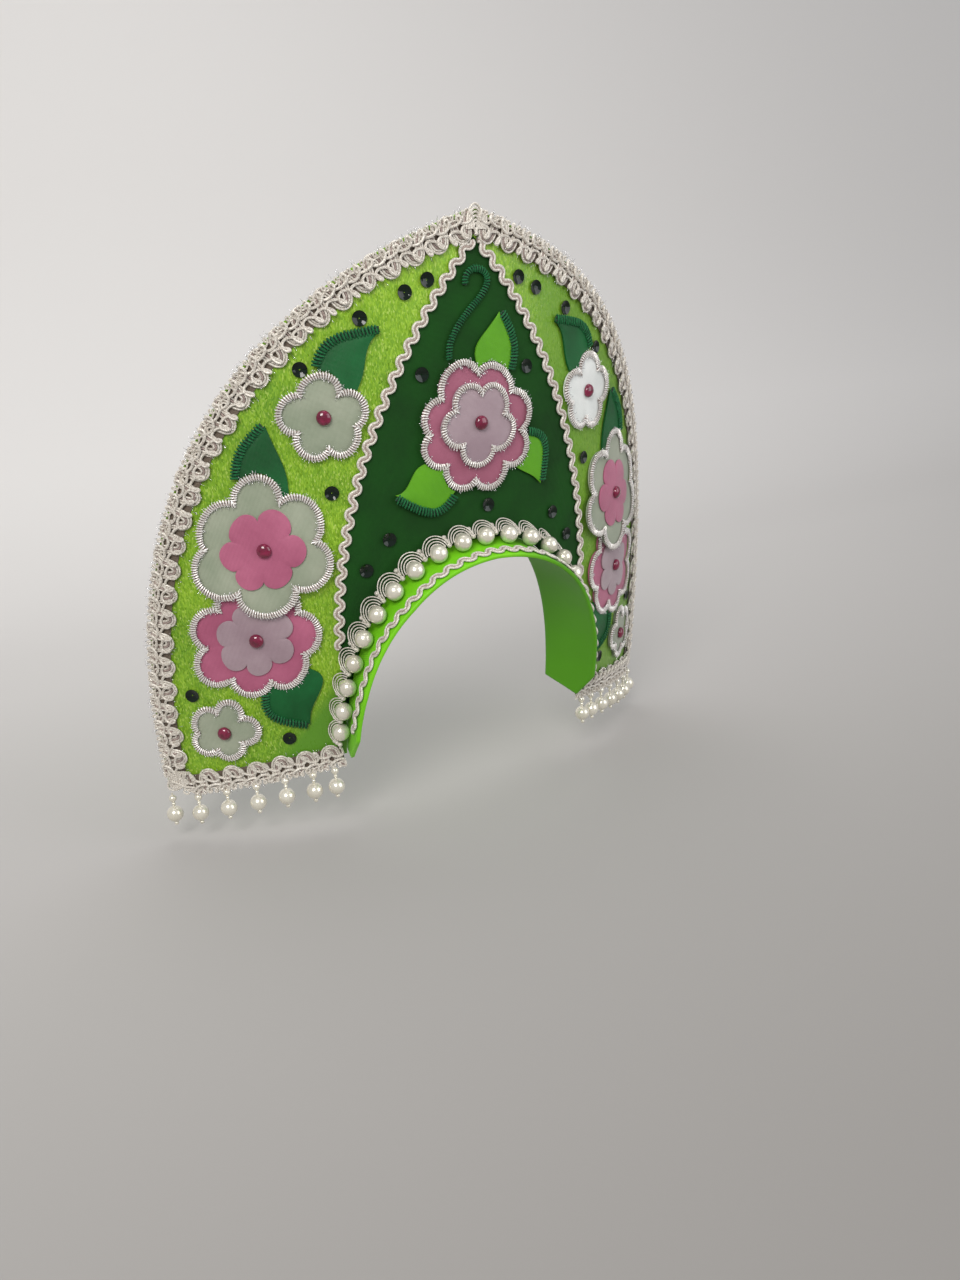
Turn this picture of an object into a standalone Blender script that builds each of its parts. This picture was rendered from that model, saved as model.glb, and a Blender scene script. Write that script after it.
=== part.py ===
"""Kokoshnik headdress: a tall brocade shield on a cloth hoop, with braid, pearls and drops.

Metres, +Z up, the front faces -Y and +X is to the right of a viewer in front.
The origin is the inner top of the hoop, at the line where it passes the shield's front.
"""
import math
import bpy
import bmesh
from mathutils import Vector

# Shield: its front face is y = -lean z + bow z^2 + sweep |x/half width|^power
HALF_WIDTH = 0.180
TOP_HEIGHT = 0.181
CORNER_HEIGHT = -0.130
CORNER_INSET = 0.002
SIDE_HEIGHT = -0.0795
SHOULDER_HEIGHT = 0.137
CREST_DROOP = math.radians(20.0)
CREST_REACH = 0.049
SHIELD_LEAN = 0.13
SHIELD_BOW = 0.13
SWEEP_DEPTH = 0.0705
SWEEP_POWER = 2.17
BOARD_THICKNESS = 0.003

# Seam between the centre panel and the side panels: an arc of a circle
SEAM_RADIUS = 0.312
SEAM_WIDEST_HEIGHT = -0.048
SEAM_TOP_DROP = 0.014

# Head hoop
ARCH_HALF_WIDTH = 0.084
ARCH_POWER = 2.3
FOOT_HEIGHT = -0.117
HOOP_WALL = 0.0025
HOOP_FRONT = 0.024
HOOP_BACK = 0.022
HOOP_DROOP = 0.36
HOOP_FLARE = 0.22

# Fits
CLEARANCE = 0.0003
SEAT_LIFT = 0.0005

# Trims
BRAID_WIDTH = 0.015
BRAID_INSET = 0.0015
BRAID_THICKNESS = 0.002
BRAID_PERIOD = 0.0165
BRAID_WAVE = 0.0006
BRAID_DROP = 0.004
BRAID_CORNER_RADIUS = 0.009
FOOT_BRAID_GAP = 0.0085
SEAM_BRAID_WIDTH = 0.006
SEAM_BRAID_THICKNESS = 0.0018
SEAM_BRAID_START = 0.062
SEAM_BRAID_END = 0.825
HOOP_BRAID_WIDTH = 0.006
HOOP_BRAID_INSET = 0.0008
HOOP_BRAID_THICKNESS = 0.0015
HOOP_BRAID_END = 0.86
PEARL_RADIUS = 0.005
PEARL_COUNT = 21
PEARL_END = 0.895
PEARL_FORWARD = 0.0059
FAN_EDGE = 0.0105
FAN_WAVE = 0.0016
FAN_THICKNESS = 0.0016

# Appliques
PETAL_THICKNESS = 0.0015
HEART_THICKNESS = 0.0012
LEAF_THICKNESS = 0.0012
CORD_WIDTH = 0.0042
CORD_THICKNESS = 0.003
STONE_RADIUS = 0.004
STONE_HEIGHT = 0.003
SEQUIN_RADIUS = 0.004
SEQUIN_HEIGHT = 0.001
SEQUIN_SINK = 0.0008
STEM_RADIUS = 0.0022
OVERLAY_RISE = 0.0033

# Pendants
PENDANT_LENGTH = 0.021
PENDANT_PEARL_RADIUS = 0.005

# How many samples follow each edge
SEAM_STEPS = 16
FOOT_STEPS = 3
SIDE_COLUMNS = 4
CENTRE_COLUMNS = 3

# Front edge of the hoop: share of the way from top to foot, share of HOOP_FRONT
HOOP_REACH = (
    (0.0, 0.82),
    (0.35, 1.0),
    (0.7, 0.9),
    (0.88, 0.75),
    (1.0, 0.2),
)

# Petals, as seen on the right of the headdress: tip angle and notch angle in degrees,
# and their distances as shares of the flower's radius
SMALL_TOP_PETALS = (
    (11, 1.01, 47, 0.74),
    (87, 0.96, 128, 0.62),
    (171, 0.99, 200, 0.78),
    (239, 1.00, 264, 0.72),
    (291, 0.96, 334, 0.68),
)
BIG_PETALS = (
    (-24, 1.03, 5, 0.82),
    (37, 0.96, 62, 0.78),
    (87, 1.05, 112, 0.71),
    (142, 0.95, 176, 0.73),
    (203, 1.00, 236, 0.72),
    (271, 0.98, 304, 0.73),
)
LOW_PETALS = (
    (20, 0.99, 45, 0.75),
    (66, 0.96, 92, 0.75),
    (120, 0.96, 150, 0.77),
    (178, 1.00, 203, 0.80),
    (236, 0.97, 257, 0.75),
    (281, 0.95, 304, 0.76),
    (326, 1.06, 354, 0.79),
)
SMALL_LOW_PETALS = (
    (48, 1.02, 75, 0.70),
    (102, 1.04, 140, 0.69),
    (178, 1.05, 214, 0.64),
    (258, 0.88, 294, 0.62),
    (335, 0.97, 4, 0.80),
)
CENTRE_PETALS = (
    (8, 0.98, 35, 0.74),
    (68, 0.90, 91, 0.74),
    (112, 0.98, 148, 0.76),
    (171, 0.96, 188, 0.87),
    (205, 1.04, 226, 0.85),
    (246, 1.06, 264, 0.90),
    (283, 1.06, 304, 0.83),
    (325, 1.05, 346, 0.82),
)
BIG_HEART_PETALS = (
    (-4, 1.02, 20, 0.76),
    (59, 0.98, 82, 0.70),
    (109, 0.98, 153, 0.66),
    (188, 0.99, 218, 0.74),
    (251, 0.98, 275, 0.76),
    (299, 1.02, 326, 0.79),
)
LOW_HEART_PETALS = (
    (22, 1.00, 46, 0.74),
    (68, 0.97, 112, 0.70),
    (157, 0.99, 181, 0.70),
    (211, 1.00, 241, 0.67),
    (271, 0.97, 294, 0.71),
    (318, 1.03, 352, 0.80),
)
CENTRE_HEART_PETALS = (
    (-18, 1.01, 12, 0.70),
    (59, 0.97, 86, 0.69),
    (118, 0.97, 154, 0.74),
    (188, 1.02, 225, 0.70),
    (261, 1.03, 298, 0.73),
)

# Flowers: place as shares of HALF_WIDTH and TOP_HEIGHT, radius in metres, petals, rings
FLOWERS = {
    "small_top": (0.483, 0.447, 0.0250, SMALL_TOP_PETALS, 1),
    "big": (0.667, 0.075, 0.0400, BIG_PETALS, 2),
    "low": (0.709, -0.211, 0.0380, LOW_PETALS, 2),
    "small_low": (0.819, -0.523, 0.0215, SMALL_LOW_PETALS, 1),
    "centre": (0.0, 0.389, 0.0380, CENTRE_PETALS, 2),
}
HEARTS = {
    "big": (0.0232, BIG_HEART_PETALS),
    "low": (0.0225, LOW_HEART_PETALS),
    "centre": (0.0245, CENTRE_HEART_PETALS),
}

# Leaves, in shares of their flower's radius and degrees: tip across and up, then for the
# corded side and the plain side the angle where it leaves the flower, its bulge and twist
LEAVES = {
    "leaf_top": ("small_top", -1.34, 1.66, 86, 0.30, 0.04, 146, -0.10, 0.06),
    "leaf_middle": ("big", -0.145, 1.66, 74.6, 0.11, 0.0, 117.7, 0.05, 0.015),
    "leaf_low": ("low", -0.8215, -1.474, -96.4, 0.25, 0.0, -143.7, 0.18, 0.095),
    "leaf_centre_top": ("centre", 0.382, 1.539, 52.6, 0.137, 0.0, 89.4, 0.145, 0.039),
    "leaf_centre_left": ("centre", -1.361, -0.924, 246.3, 0.263, 0.013, 210, -0.013, 0.047),
    "leaf_centre_right": ("centre", 1.168, -1.058, -16, 0.271, 0.026, -48, -0.024, 0.011),
}

# Stem, as shares of HALF_WIDTH and TOP_HEIGHT
STEM = (
    (-0.098, 0.606),
    (-0.091, 0.634),
    (-0.062, 0.681),
    (-0.017, 0.727),
    (0.018, 0.759),
    (0.041, 0.797),
    (0.030, 0.826),
    (-0.004, 0.835),
    (-0.032, 0.818),
    (-0.038, 0.790),
)

# Sequins on a side panel: share of the way from seam to outline, and of TOP_HEIGHT.
# Sequins on the centre panel: share of the way from the middle to the seam, and of TOP_HEIGHT
SIDE_SEQUINS = (
    (0.1722, 0.808),
    (0.2889, 0.777),
    (0.4851, 0.714),
    (0.6384, 0.586),
    (0.1377, 0.224),
    (0.8053, -0.388),
    (0.3490, -0.563),
)
CENTRE_SEQUINS = (
    (0.6901, 0.545),
    (-0.6901, 0.545),
    (0.6974, 0.061),
    (-0.6974, 0.061),
    (0.8377, -0.028),
    (-0.8377, -0.028),
    (0.0764, 0.126),
)

# Pendants: place along the foot of each side, as shares of HALF_WIDTH
PENDANTS = (0.514, 0.581, 0.664, 0.747, 0.831, 0.911, 0.981)

# Profile of a pendant: share of the pearl's radius, share of the length, top to bottom
PENDANT_PROFILE = (
    (0.14, 0.0),
    (0.46, 0.171),
    (0.17, 0.32),
    (0.18, 0.44),
    (0.80, 0.52),
    (1.00, 0.666),
    (0.80, 0.812),
    (0.28, 0.93),
)

COLOURS = {
    "lime": ((0.30, 0.52, 0.04), 0.55, 0.1),
    "hoop_lime": ((0.16, 0.50, 0.05), 0.7, 0.0),
    "dark_green": ((0.02, 0.09, 0.01), 0.6, 0.0),
    "leaf_green": ((0.02, 0.16, 0.05), 0.5, 0.0),
    "grass_green": ((0.14, 0.40, 0.02), 0.5, 0.0),
    "silver": ((0.62, 0.58, 0.53), 0.4, 0.5),
    "pearl": ((0.76, 0.68, 0.55), 0.25, 0.0),
    "pink": ((0.58, 0.16, 0.28), 0.5, 0.0),
    "rose": ((0.38, 0.09, 0.17), 0.5, 0.0),
    "grey_green": ((0.38, 0.42, 0.33), 0.5, 0.0),
    "white": ((0.80, 0.82, 0.80), 0.4, 0.0),
    "lilac": ((0.43, 0.33, 0.37), 0.5, 0.0),
    "magenta": ((0.32, 0.01, 0.05), 0.15, 0.0),
}


def clear_scene():
    for item in list(bpy.data.objects):
        bpy.data.objects.remove(item, do_unlink=True)


def make_collection(name):
    group = bpy.data.collections.new(name)
    bpy.context.scene.collection.children.link(group)
    return group


def own_material(name, colour_name):
    colour, roughness, metallic = COLOURS[colour_name]
    material = bpy.data.materials.new(name)
    material.use_nodes = True
    shader = material.node_tree.nodes["Principled BSDF"]
    shader.inputs["Base Color"].default_value = (colour[0], colour[1], colour[2], 1.0)
    shader.inputs["Roughness"].default_value = roughness
    shader.inputs["Metallic"].default_value = metallic
    return material


def add_object(name, mesh, group, colour_name):
    item = bpy.data.objects.new(name, mesh)
    group.objects.link(item)
    mesh.materials.append(own_material(name, colour_name))
    return item


def lerp(start, end, share):
    return start + (end - start) * share


def table_value(table, share):
    for (s0, v0), (s1, v1) in zip(table, table[1:]):
        if share <= s1:
            return lerp(v0, v1, (share - s0) / (s1 - s0))
    return table[-1][1]


# Shield surface

def surface_y(x, z):
    return -SHIELD_LEAN * z + SHIELD_BOW * z * z + SWEEP_DEPTH * (abs(x) / HALF_WIDTH) ** SWEEP_POWER


def surface_slopes(x, z):
    share = abs(x) / HALF_WIDTH
    across = SWEEP_DEPTH * SWEEP_POWER / HALF_WIDTH * share ** (SWEEP_POWER - 1.0)
    return math.copysign(across, x), -SHIELD_LEAN + 2.0 * SHIELD_BOW * z


def front_normal(x, z):
    across, up = surface_slopes(x, z)
    return Vector((across, -1.0, up)).normalized()


def on_shield(x, z, lift=0.0):
    return Vector((x, surface_y(x, z), z)) + front_normal(x, z) * lift


def beside(x, z, across, up):
    """The place reached from (x, z) by going the given lengths along the surface."""
    slope_x, slope_z = surface_slopes(x, z)
    return x + across / math.hypot(1.0, slope_x), z + up / math.hypot(1.0, slope_z)


# Flat curves: each takes a share from 0 to 1 and gives (x, z) on the right side

def even_curve(points):
    """A function of the share of the length of a polyline."""
    lengths = [0.0]
    for (x0, z0), (x1, z1) in zip(points, points[1:]):
        lengths.append(lengths[-1] + math.hypot(x1 - x0, z1 - z0))

    def at(share):
        goal = min(max(share, 0.0), 1.0) * lengths[-1]
        for i in range(1, len(points)):
            if goal <= lengths[i] or i == len(points) - 1:
                part = (goal - lengths[i - 1]) / (lengths[i] - lengths[i - 1])
                return lerp(points[i - 1][0], points[i][0], part), lerp(points[i - 1][1], points[i][1], part)

    at.length = lengths[-1]
    return at


def bezier(p0, p1, p2, p3, t):
    keep = 1.0 - t
    weights = (keep ** 3, 3.0 * keep * keep * t, 3.0 * keep * t * t, t ** 3)
    return tuple(sum(w * p[k] for w, p in zip(weights, (p0, p1, p2, p3))) for k in range(2))


def outline_points():
    start = (0.0, TOP_HEIGHT)
    reach = (CREST_REACH * math.cos(CREST_DROOP), TOP_HEIGHT - CREST_REACH * math.sin(CREST_DROOP))
    shoulder = (HALF_WIDTH, SHOULDER_HEIGHT)
    side = (HALF_WIDTH, SIDE_HEIGHT)
    points = [bezier(start, reach, shoulder, side, i / 160.0) for i in range(161)]
    return points + [(HALF_WIDTH - CORNER_INSET, CORNER_HEIGHT)]


def arch_points():
    top = HOOP_WALL * math.hypot(1.0, HOOP_DROOP)
    points = []
    for i in range(241):
        turn = math.pi / 2.0 * i / 240.0
        x = ARCH_HALF_WIDTH * math.sin(turn) ** (2.0 / ARCH_POWER)
        z = FOOT_HEIGHT + (top - FOOT_HEIGHT) * max(math.cos(turn), 0.0) ** (2.0 / ARCH_POWER)
        points.append((x, z))
    return points


outline = even_curve(outline_points())
arch = even_curve(arch_points())
SEAM_CENTRE_X = -math.sqrt(SEAM_RADIUS ** 2 - (TOP_HEIGHT - SEAM_TOP_DROP - SEAM_WIDEST_HEIGHT) ** 2)


def seam_x(z):
    return SEAM_CENTRE_X + math.sqrt(SEAM_RADIUS ** 2 - (z - SEAM_WIDEST_HEIGHT) ** 2)


def arch_normal(share):
    near = max(share - 0.004, 0.0)
    far = min(share + 0.004, 1.0)
    x0, z0 = arch(near)
    x1, z1 = arch(far)
    size = math.hypot(x1 - x0, z1 - z0)
    if share == 0.0:
        return 0.0, 1.0
    return -(z1 - z0) / size, (x1 - x0) / size


def arch_gap(share):
    """Gap between hoop and shield at the front, so that the board's back clears the hoop too."""
    x, z = arch(share)
    nx, nz = arch_normal(share)
    back = on_shield(x, z, -BOARD_THICKNESS)
    depth = back.y - surface_y(x, z)
    board_shift = (back.x - x) * nx + (back.z - z) * nz
    hoop_shift = (HOOP_DROOP * nz - HOOP_FLARE * nx * nx) * depth
    return 1.5 * CLEARANCE + max(hoop_shift - board_shift, 0.0)


def arch_edge(share):
    """The shield's edge round the hoop."""
    x, z = arch(share)
    nx, nz = arch_normal(share)
    gap = arch_gap(share)
    return beside(x, z, nx * gap, nz * gap)


def find_crossing():
    """Share of the arch where the seam meets it."""
    low, high = 0.5, 1.0
    for _ in range(40):
        middle = (low + high) / 2.0
        x, z = arch_edge(middle)
        if seam_x(z) > x + CLEARANCE:
            low = middle
        else:
            high = middle
    return low


CROSSING = find_crossing()
SEAM_FOOT = arch(CROSSING)[1]


def seam(share):
    start = math.asin((TOP_HEIGHT - SEAM_TOP_DROP - SEAM_WIDEST_HEIGHT) / SEAM_RADIUS)
    end = math.asin((SEAM_FOOT - SEAM_WIDEST_HEIGHT) / SEAM_RADIUS)
    turn = lerp(start, end, share)
    return SEAM_CENTRE_X + SEAM_RADIUS * math.cos(turn), SEAM_WIDEST_HEIGHT + SEAM_RADIUS * math.sin(turn)


def seam_beside(share, distance):
    """A place beside the seam, outward for a positive distance."""
    x, z = seam(share)
    nx = (x - SEAM_CENTRE_X) / SEAM_RADIUS
    nz = (z - SEAM_WIDEST_HEIGHT) / SEAM_RADIUS
    return beside(x, z, nx * distance, nz * distance)


# Hoop: straight lines that run forward and down from the arch, and flare at the sides

def hoop_direction(share):
    nx, _ = arch_normal(abs(share))
    return Vector((math.copysign(HOOP_FLARE * nx, share), -1.0, -HOOP_DROOP))


def hoop_point(share, forward):
    x, z = arch(abs(share))
    return on_shield(math.copysign(x, share), z) + hoop_direction(share) * forward


def hoop_outward(share, forward):
    step = 0.01
    before = hoop_point(max(share - step, -1.0), forward)
    after = hoop_point(min(share + step, 1.0), forward)
    outward = (after - before).cross(hoop_direction(share)).normalized()
    x, z = arch(abs(share))
    if outward.x * x * math.copysign(1.0, share) + outward.z * (z - FOOT_HEIGHT) < 0.0:
        outward = -outward
    return outward


def hoop_reach(share):
    return HOOP_FRONT * table_value(HOOP_REACH, abs(share))


def arch_shares():
    upper = [CROSSING * i / SEAM_STEPS for i in range(SEAM_STEPS + 1)]
    lower = [lerp(CROSSING, 1.0, i / FOOT_STEPS) for i in range(1, FOOT_STEPS + 1)]
    half = upper + lower
    return [-share for share in reversed(half[1:])] + half


# Meshes

def sheet(name, rows, facing):
    """An open sheet through rows of points, turned to face the given direction."""
    columns = len(rows[0]) - 1
    lines = len(rows) - 1
    cage = bmesh.new()
    bmesh.ops.create_grid(cage, x_segments=columns, y_segments=lines, size=1.0)
    low = min(vert.co.x for vert in cage.verts)
    high = max(vert.co.x for vert in cage.verts)
    for vert in cage.verts:
        column = round((vert.co.x - low) / (high - low) * columns)
        line = round((vert.co.y - low) / (high - low) * lines)
        vert.co = rows[line][column]
    bmesh.ops.remove_doubles(cage, verts=cage.verts, dist=0.000002)
    cage.normal_update()
    if sum(face.normal.dot(facing) * face.calc_area() for face in cage.faces) < 0.0:
        bmesh.ops.reverse_faces(cage, faces=cage.faces)
    mesh = bpy.data.meshes.new(name)
    cage.to_mesh(mesh)
    cage.free()
    return mesh


def thicken(item, thickness, forward):
    wall = item.modifiers.new("wall", "SOLIDIFY")
    wall.thickness = thickness
    wall.offset = 1.0 if forward else -1.0
    wall.use_even_offset = True
    return wall


def turned(name, profile, steps):
    """A mesh edge that a Screw modifier turns into a round solid."""
    mesh = bpy.data.meshes.new(name)
    cage = bmesh.new()
    verts = [cage.verts.new((radius, 0.0, height)) for radius, height in profile]
    for start, end in zip(verts, verts[1:]):
        cage.edges.new((start, end))
    cage.to_mesh(mesh)
    cage.free()
    return mesh, steps


def add_turned(name, profile, steps, group, colour_name):
    mesh, count = turned(name, profile, steps)
    item = add_object(name, mesh, group, colour_name)
    screw = item.modifiers.new("turn", "SCREW")
    screw.axis = "Z"
    screw.steps = count
    screw.render_steps = count
    screw.use_merge_vertices = True
    screw.merge_threshold = 0.00001
    screw.use_smooth_shade = True
    return item


def join_with(item, cutter):
    union = item.modifiers.new("join", "BOOLEAN")
    union.operation = "UNION"
    union.solver = "EXACT"
    union.object = cutter


def side_name(side):
    return "right" if side > 0 else "left"


def mirror_rows(rows, side):
    return [[Vector((point.x * side, point.y, point.z)) for point in row] for row in rows]


FRONT = Vector((0.0, -1.0, 0.0))


# Panels

def side_rows():
    count = SEAM_STEPS + FOOT_STEPS
    rows = []
    for i in range(count + 1):
        if i <= SEAM_STEPS:
            inner = seam_beside(i / SEAM_STEPS, CLEARANCE / 2.0)
        else:
            inner = arch_edge(lerp(CROSSING, 1.0, (i - SEAM_STEPS) / FOOT_STEPS))
        outer = outline(i / count)
        row = []
        for j in range(SIDE_COLUMNS + 1):
            x = lerp(inner[0], outer[0], j / SIDE_COLUMNS)
            z = lerp(inner[1], outer[1], j / SIDE_COLUMNS)
            if i == 0:
                x = CLEARANCE / 2.0
            row.append(on_shield(x, z))
        rows.append(row)
    return rows


def centre_rows():
    half = []
    for i in range(SEAM_STEPS + 1):
        place = i if i < SEAM_STEPS else SEAM_STEPS - 0.35
        outer = seam_beside(place / SEAM_STEPS, -CLEARANCE / 2.0)
        inner = arch_edge(CROSSING * place / SEAM_STEPS)
        if i == 0:
            outer = (0.0, outer[1])
        half.append((inner, outer))
    ends = [((-a[0], a[1]), (-b[0], b[1])) for a, b in reversed(half[1:])] + half
    rows = []
    for inner, outer in ends:
        steps = [j / CENTRE_COLUMNS for j in range(CENTRE_COLUMNS + 1)]
        rows.append([on_shield(lerp(inner[0], outer[0], t), lerp(inner[1], outer[1], t)) for t in steps])
    return rows


def outline_x(z):
    """Half width of the shield at a height."""
    points = outline_points()
    for (x0, z0), (x1, z1) in zip(points, points[1:]):
        if z1 <= z <= z0:
            return lerp(x0, x1, (z0 - z) / (z0 - z1))
    return HALF_WIDTH


def side_sequin(share, height):
    z = height * TOP_HEIGHT
    return lerp(seam_x(z), outline_x(z), share), z


def sequin_cutter(name, places, guides):
    """Flat discs, all in one mesh, that are joined to a panel."""
    cage = bmesh.new()
    for x, z in places:
        normal = front_normal(x, z)
        height = SEQUIN_HEIGHT + SEQUIN_SINK
        centre = on_shield(x, z, height / 2.0 - SEQUIN_SINK)
        place = normal.to_track_quat("Z", "Y").to_matrix().to_4x4()
        place.translation = centre
        bmesh.ops.create_cone(cage, cap_ends=True, segments=6, radius1=SEQUIN_RADIUS,
                              radius2=SEQUIN_RADIUS * 0.8, depth=height, matrix=place)
    mesh = bpy.data.meshes.new(name)
    cage.to_mesh(mesh)
    cage.free()
    item = bpy.data.objects.new(name, mesh)
    guides.objects.link(item)
    item.hide_render = True
    item.display_type = "WIRE"
    return item


def build_panels(group, guides):
    for side in (-1, 1):
        name = side_name(side) + "_panel"
        mesh = sheet(name, mirror_rows(side_rows(), side), FRONT)
        item = add_object(name, mesh, group, "lime")
        thicken(item, BOARD_THICKNESS, False)
        places = [(side * x, z) for x, z in (side_sequin(*row) for row in SIDE_SEQUINS)]
        join_with(item, sequin_cutter(name + "_sequins", places, guides))
    item = add_object("centre_panel", sheet("centre_panel", centre_rows(), FRONT), group, "dark_green")
    thicken(item, BOARD_THICKNESS, False)
    places = [(share * seam_x(z * TOP_HEIGHT), z * TOP_HEIGHT) for share, z in CENTRE_SEQUINS]
    join_with(item, sequin_cutter("centre_panel_sequins", places, guides))


# Hoop and what is sewn to it

def build_hoop(group):
    shares = arch_shares()
    back = [hoop_point(share, -HOOP_BACK) for share in shares]
    front = [hoop_point(share, hoop_reach(share)) for share in shares]
    mesh = sheet("hoop", [back, front], Vector((0.0, 0.0, 1.0)))
    item = add_object("hoop", mesh, group, "hoop_lime")
    thicken(item, HOOP_WALL, False)


def hoop_braid_rows():
    near, far = [], []
    for share in arch_shares():
        if abs(share) > HOOP_BRAID_END:
            continue
        for row, back in ((near, HOOP_BRAID_INSET), (far, HOOP_BRAID_INSET + HOOP_BRAID_WIDTH)):
            forward = hoop_reach(share) - back
            row.append(hoop_point(share, forward) + hoop_outward(share, forward) * SEAT_LIFT)
    return [far, near]


def build_hoop_braid(group):
    mesh = sheet("hoop_braid", hoop_braid_rows(), Vector((0.0, 0.0, 1.0)))
    item = add_object("hoop_braid", mesh, group, "silver")
    thicken(item, HOOP_BRAID_THICKNESS, True)


def pearl_place(share):
    braid_back = HOOP_BRAID_INSET + HOOP_BRAID_WIDTH
    forward = PEARL_FORWARD + 0.0031 * math.sin(math.pi * min(abs(share) / PEARL_END, 1.0))
    if abs(share) < HOOP_BRAID_END + 0.05:
        forward = min(forward, hoop_reach(share) - braid_back - PEARL_RADIUS - SEAT_LIFT)
    lift = PEARL_RADIUS + SEAT_LIFT
    return hoop_point(share, forward) + hoop_outward(share, forward) * lift


def fan_edge(share, wave):
    x, z = arch(abs(share))
    nx, nz = arch_normal(abs(share))
    reach = FAN_EDGE + wave
    x, z = beside(x, z, nx * reach, nz * reach)
    return on_shield(math.copysign(x, share), z, SEAT_LIFT)


def build_pearl_trim(group, guides):
    steps = (PEARL_COUNT - 1) * 2
    inner, outer = [], []
    for i in range(steps + 1):
        share = lerp(-PEARL_END, PEARL_END, i / steps)
        outer.append(fan_edge(share, 0.0 if i % 2 == 0 else -FAN_WAVE))
        pearl = pearl_place(share)
        inner.append(pearl + (outer[-1] - pearl).normalized() * PEARL_RADIUS * 0.8)
    mesh = sheet("pearl_trim", [inner, outer], Vector((0.0, -1.0, 0.6)))
    item = add_object("pearl_trim", mesh, group, "pearl")
    thicken(item, FAN_THICKNESS, True)
    cage = bmesh.new()
    for i in range(PEARL_COUNT):
        share = lerp(-PEARL_END, PEARL_END, i / (PEARL_COUNT - 1))
        place = hoop_outward(share, 0.0).to_track_quat("Z", "Y").to_matrix().to_4x4()
        place.translation = pearl_place(share)
        bmesh.ops.create_uvsphere(cage, u_segments=10, v_segments=5, radius=PEARL_RADIUS, matrix=place)
    balls = bpy.data.meshes.new("pearls")
    cage.to_mesh(balls)
    cage.free()
    cutter = bpy.data.objects.new("pearls", balls)
    guides.objects.link(cutter)
    cutter.hide_render = True
    cutter.display_type = "WIRE"
    join_with(item, cutter)


# Braids on the shield

def strip_edges(path, half_width, wave, spread=None):
    """Edges either side of a path, in and out by the wave in turn."""
    inner, outer = [], []
    for i, (x, z) in enumerate(path):
        x0, z0 = path[max(i - 1, 0)]
        x1, z1 = path[min(i + 1, len(path) - 1)]
        slope_x, slope_z = surface_slopes(x, z)
        along = ((x1 - x0) * math.hypot(1.0, slope_x), (z1 - z0) * math.hypot(1.0, slope_z))
        size = math.hypot(along[0], along[1])
        nx, nz = -along[1] / size, along[0] / size
        reach = half_width + (wave if i % 2 == 0 else -wave)
        extra = spread(z, nx, nz) if spread else 0.0
        inner.append(beside(x, z, nx * -reach, nz * -reach))
        outer.append(beside(x, z, nx * (reach + extra), nz * (reach + extra)))
    return inner, outer


def board_foot(x):
    """Height of the board's bottom edge."""
    share = (x - ARCH_HALF_WIDTH) / (HALF_WIDTH - CORNER_INSET - ARCH_HALF_WIDTH)
    return lerp(FOOT_HEIGHT, CORNER_HEIGHT, share)


def inset_outline(share, distance):
    x, z = outline(share)
    x0, z0 = outline(share - 0.004)
    x1, z1 = outline(share + 0.004)
    slope_x, slope_z = surface_slopes(x, z)
    along = ((x1 - x0) * math.hypot(1.0, slope_x), (z1 - z0) * math.hypot(1.0, slope_z))
    size = math.hypot(along[0], along[1])
    return beside(x, z, along[1] / size * distance, -along[0] / size * distance)


def even_steps(points, first):
    curve = even_curve(points)
    count = 2 * max(round(curve.length / BRAID_PERIOD), 1)
    return [curve(i / count) for i in range(first, count + 1)]


def outer_braid_path():
    """Down the side inside the outline, round the corner and in along the foot."""
    middle = BRAID_INSET + BRAID_WIDTH / 2.0
    fine = [inset_outline(i / 400.0, middle) for i in range(401)]
    turn_height = CORNER_HEIGHT + BRAID_WIDTH / 2.0 - BRAID_DROP + BRAID_CORNER_RADIUS
    side = [point for point in fine if point[1] > turn_height]
    x, z = side[-1]
    slope_x, _ = surface_slopes(x, z)
    radius_x = BRAID_CORNER_RADIUS / math.hypot(1.0, slope_x)
    corner = []
    for i in range(1, 5):
        turn = math.pi / 2.0 * i / 4.0
        corner_x = x - radius_x * (1.0 - math.cos(turn))
        level = board_foot(corner_x) - board_foot(x)
        corner.append((corner_x, z - BRAID_CORNER_RADIUS * math.sin(turn) + level * i / 4.0))
    foot_x, foot_z = corner[-1]
    end_x = ARCH_HALF_WIDTH + FOOT_BRAID_GAP
    foot = [(value, board_foot(value) + foot_z - board_foot(foot_x)) for value in (foot_x, end_x)]
    return even_steps(side, 0) + corner + even_steps(foot, 1)


def corner_spread(z, nx, nz):
    """What the outer edge needs beyond its round corner to make a square one."""
    steep = max(abs(nx), abs(nz))
    if z > CORNER_HEIGHT + 1.6 * BRAID_WIDTH or steep > math.cos(math.radians(12.0)):
        return 0.0
    return (BRAID_CORNER_RADIUS + BRAID_WIDTH / 2.0) * (1.0 / steep - 1.0)


def outer_braid_edges():
    """Edge nearer to the middle, then the edge along the outline and the foot."""
    inner, outer = strip_edges(outer_braid_path(), BRAID_WIDTH / 2.0, BRAID_WAVE, corner_spread)
    top = TOP_HEIGHT - BRAID_INSET / math.cos(CREST_DROOP)
    outer[0] = (CLEARANCE / 2.0, top)
    inner[0] = (CLEARANCE / 2.0, top - BRAID_WIDTH / math.cos(CREST_DROOP))
    return inner, outer


def braid_foot(x):
    """Height of the braid's lower edge, where the pendants hang."""
    _, outer = outer_braid_edges()
    foot = [place for place in outer if place[1] < FOOT_HEIGHT]
    for (x0, z0), (x1, z1) in zip(foot, foot[1:]):
        if x1 <= x <= x0:
            return lerp(z0, z1, (x - x0) / (x1 - x0))
    return min(foot, key=lambda place: abs(place[0] - x))[1]


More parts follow.
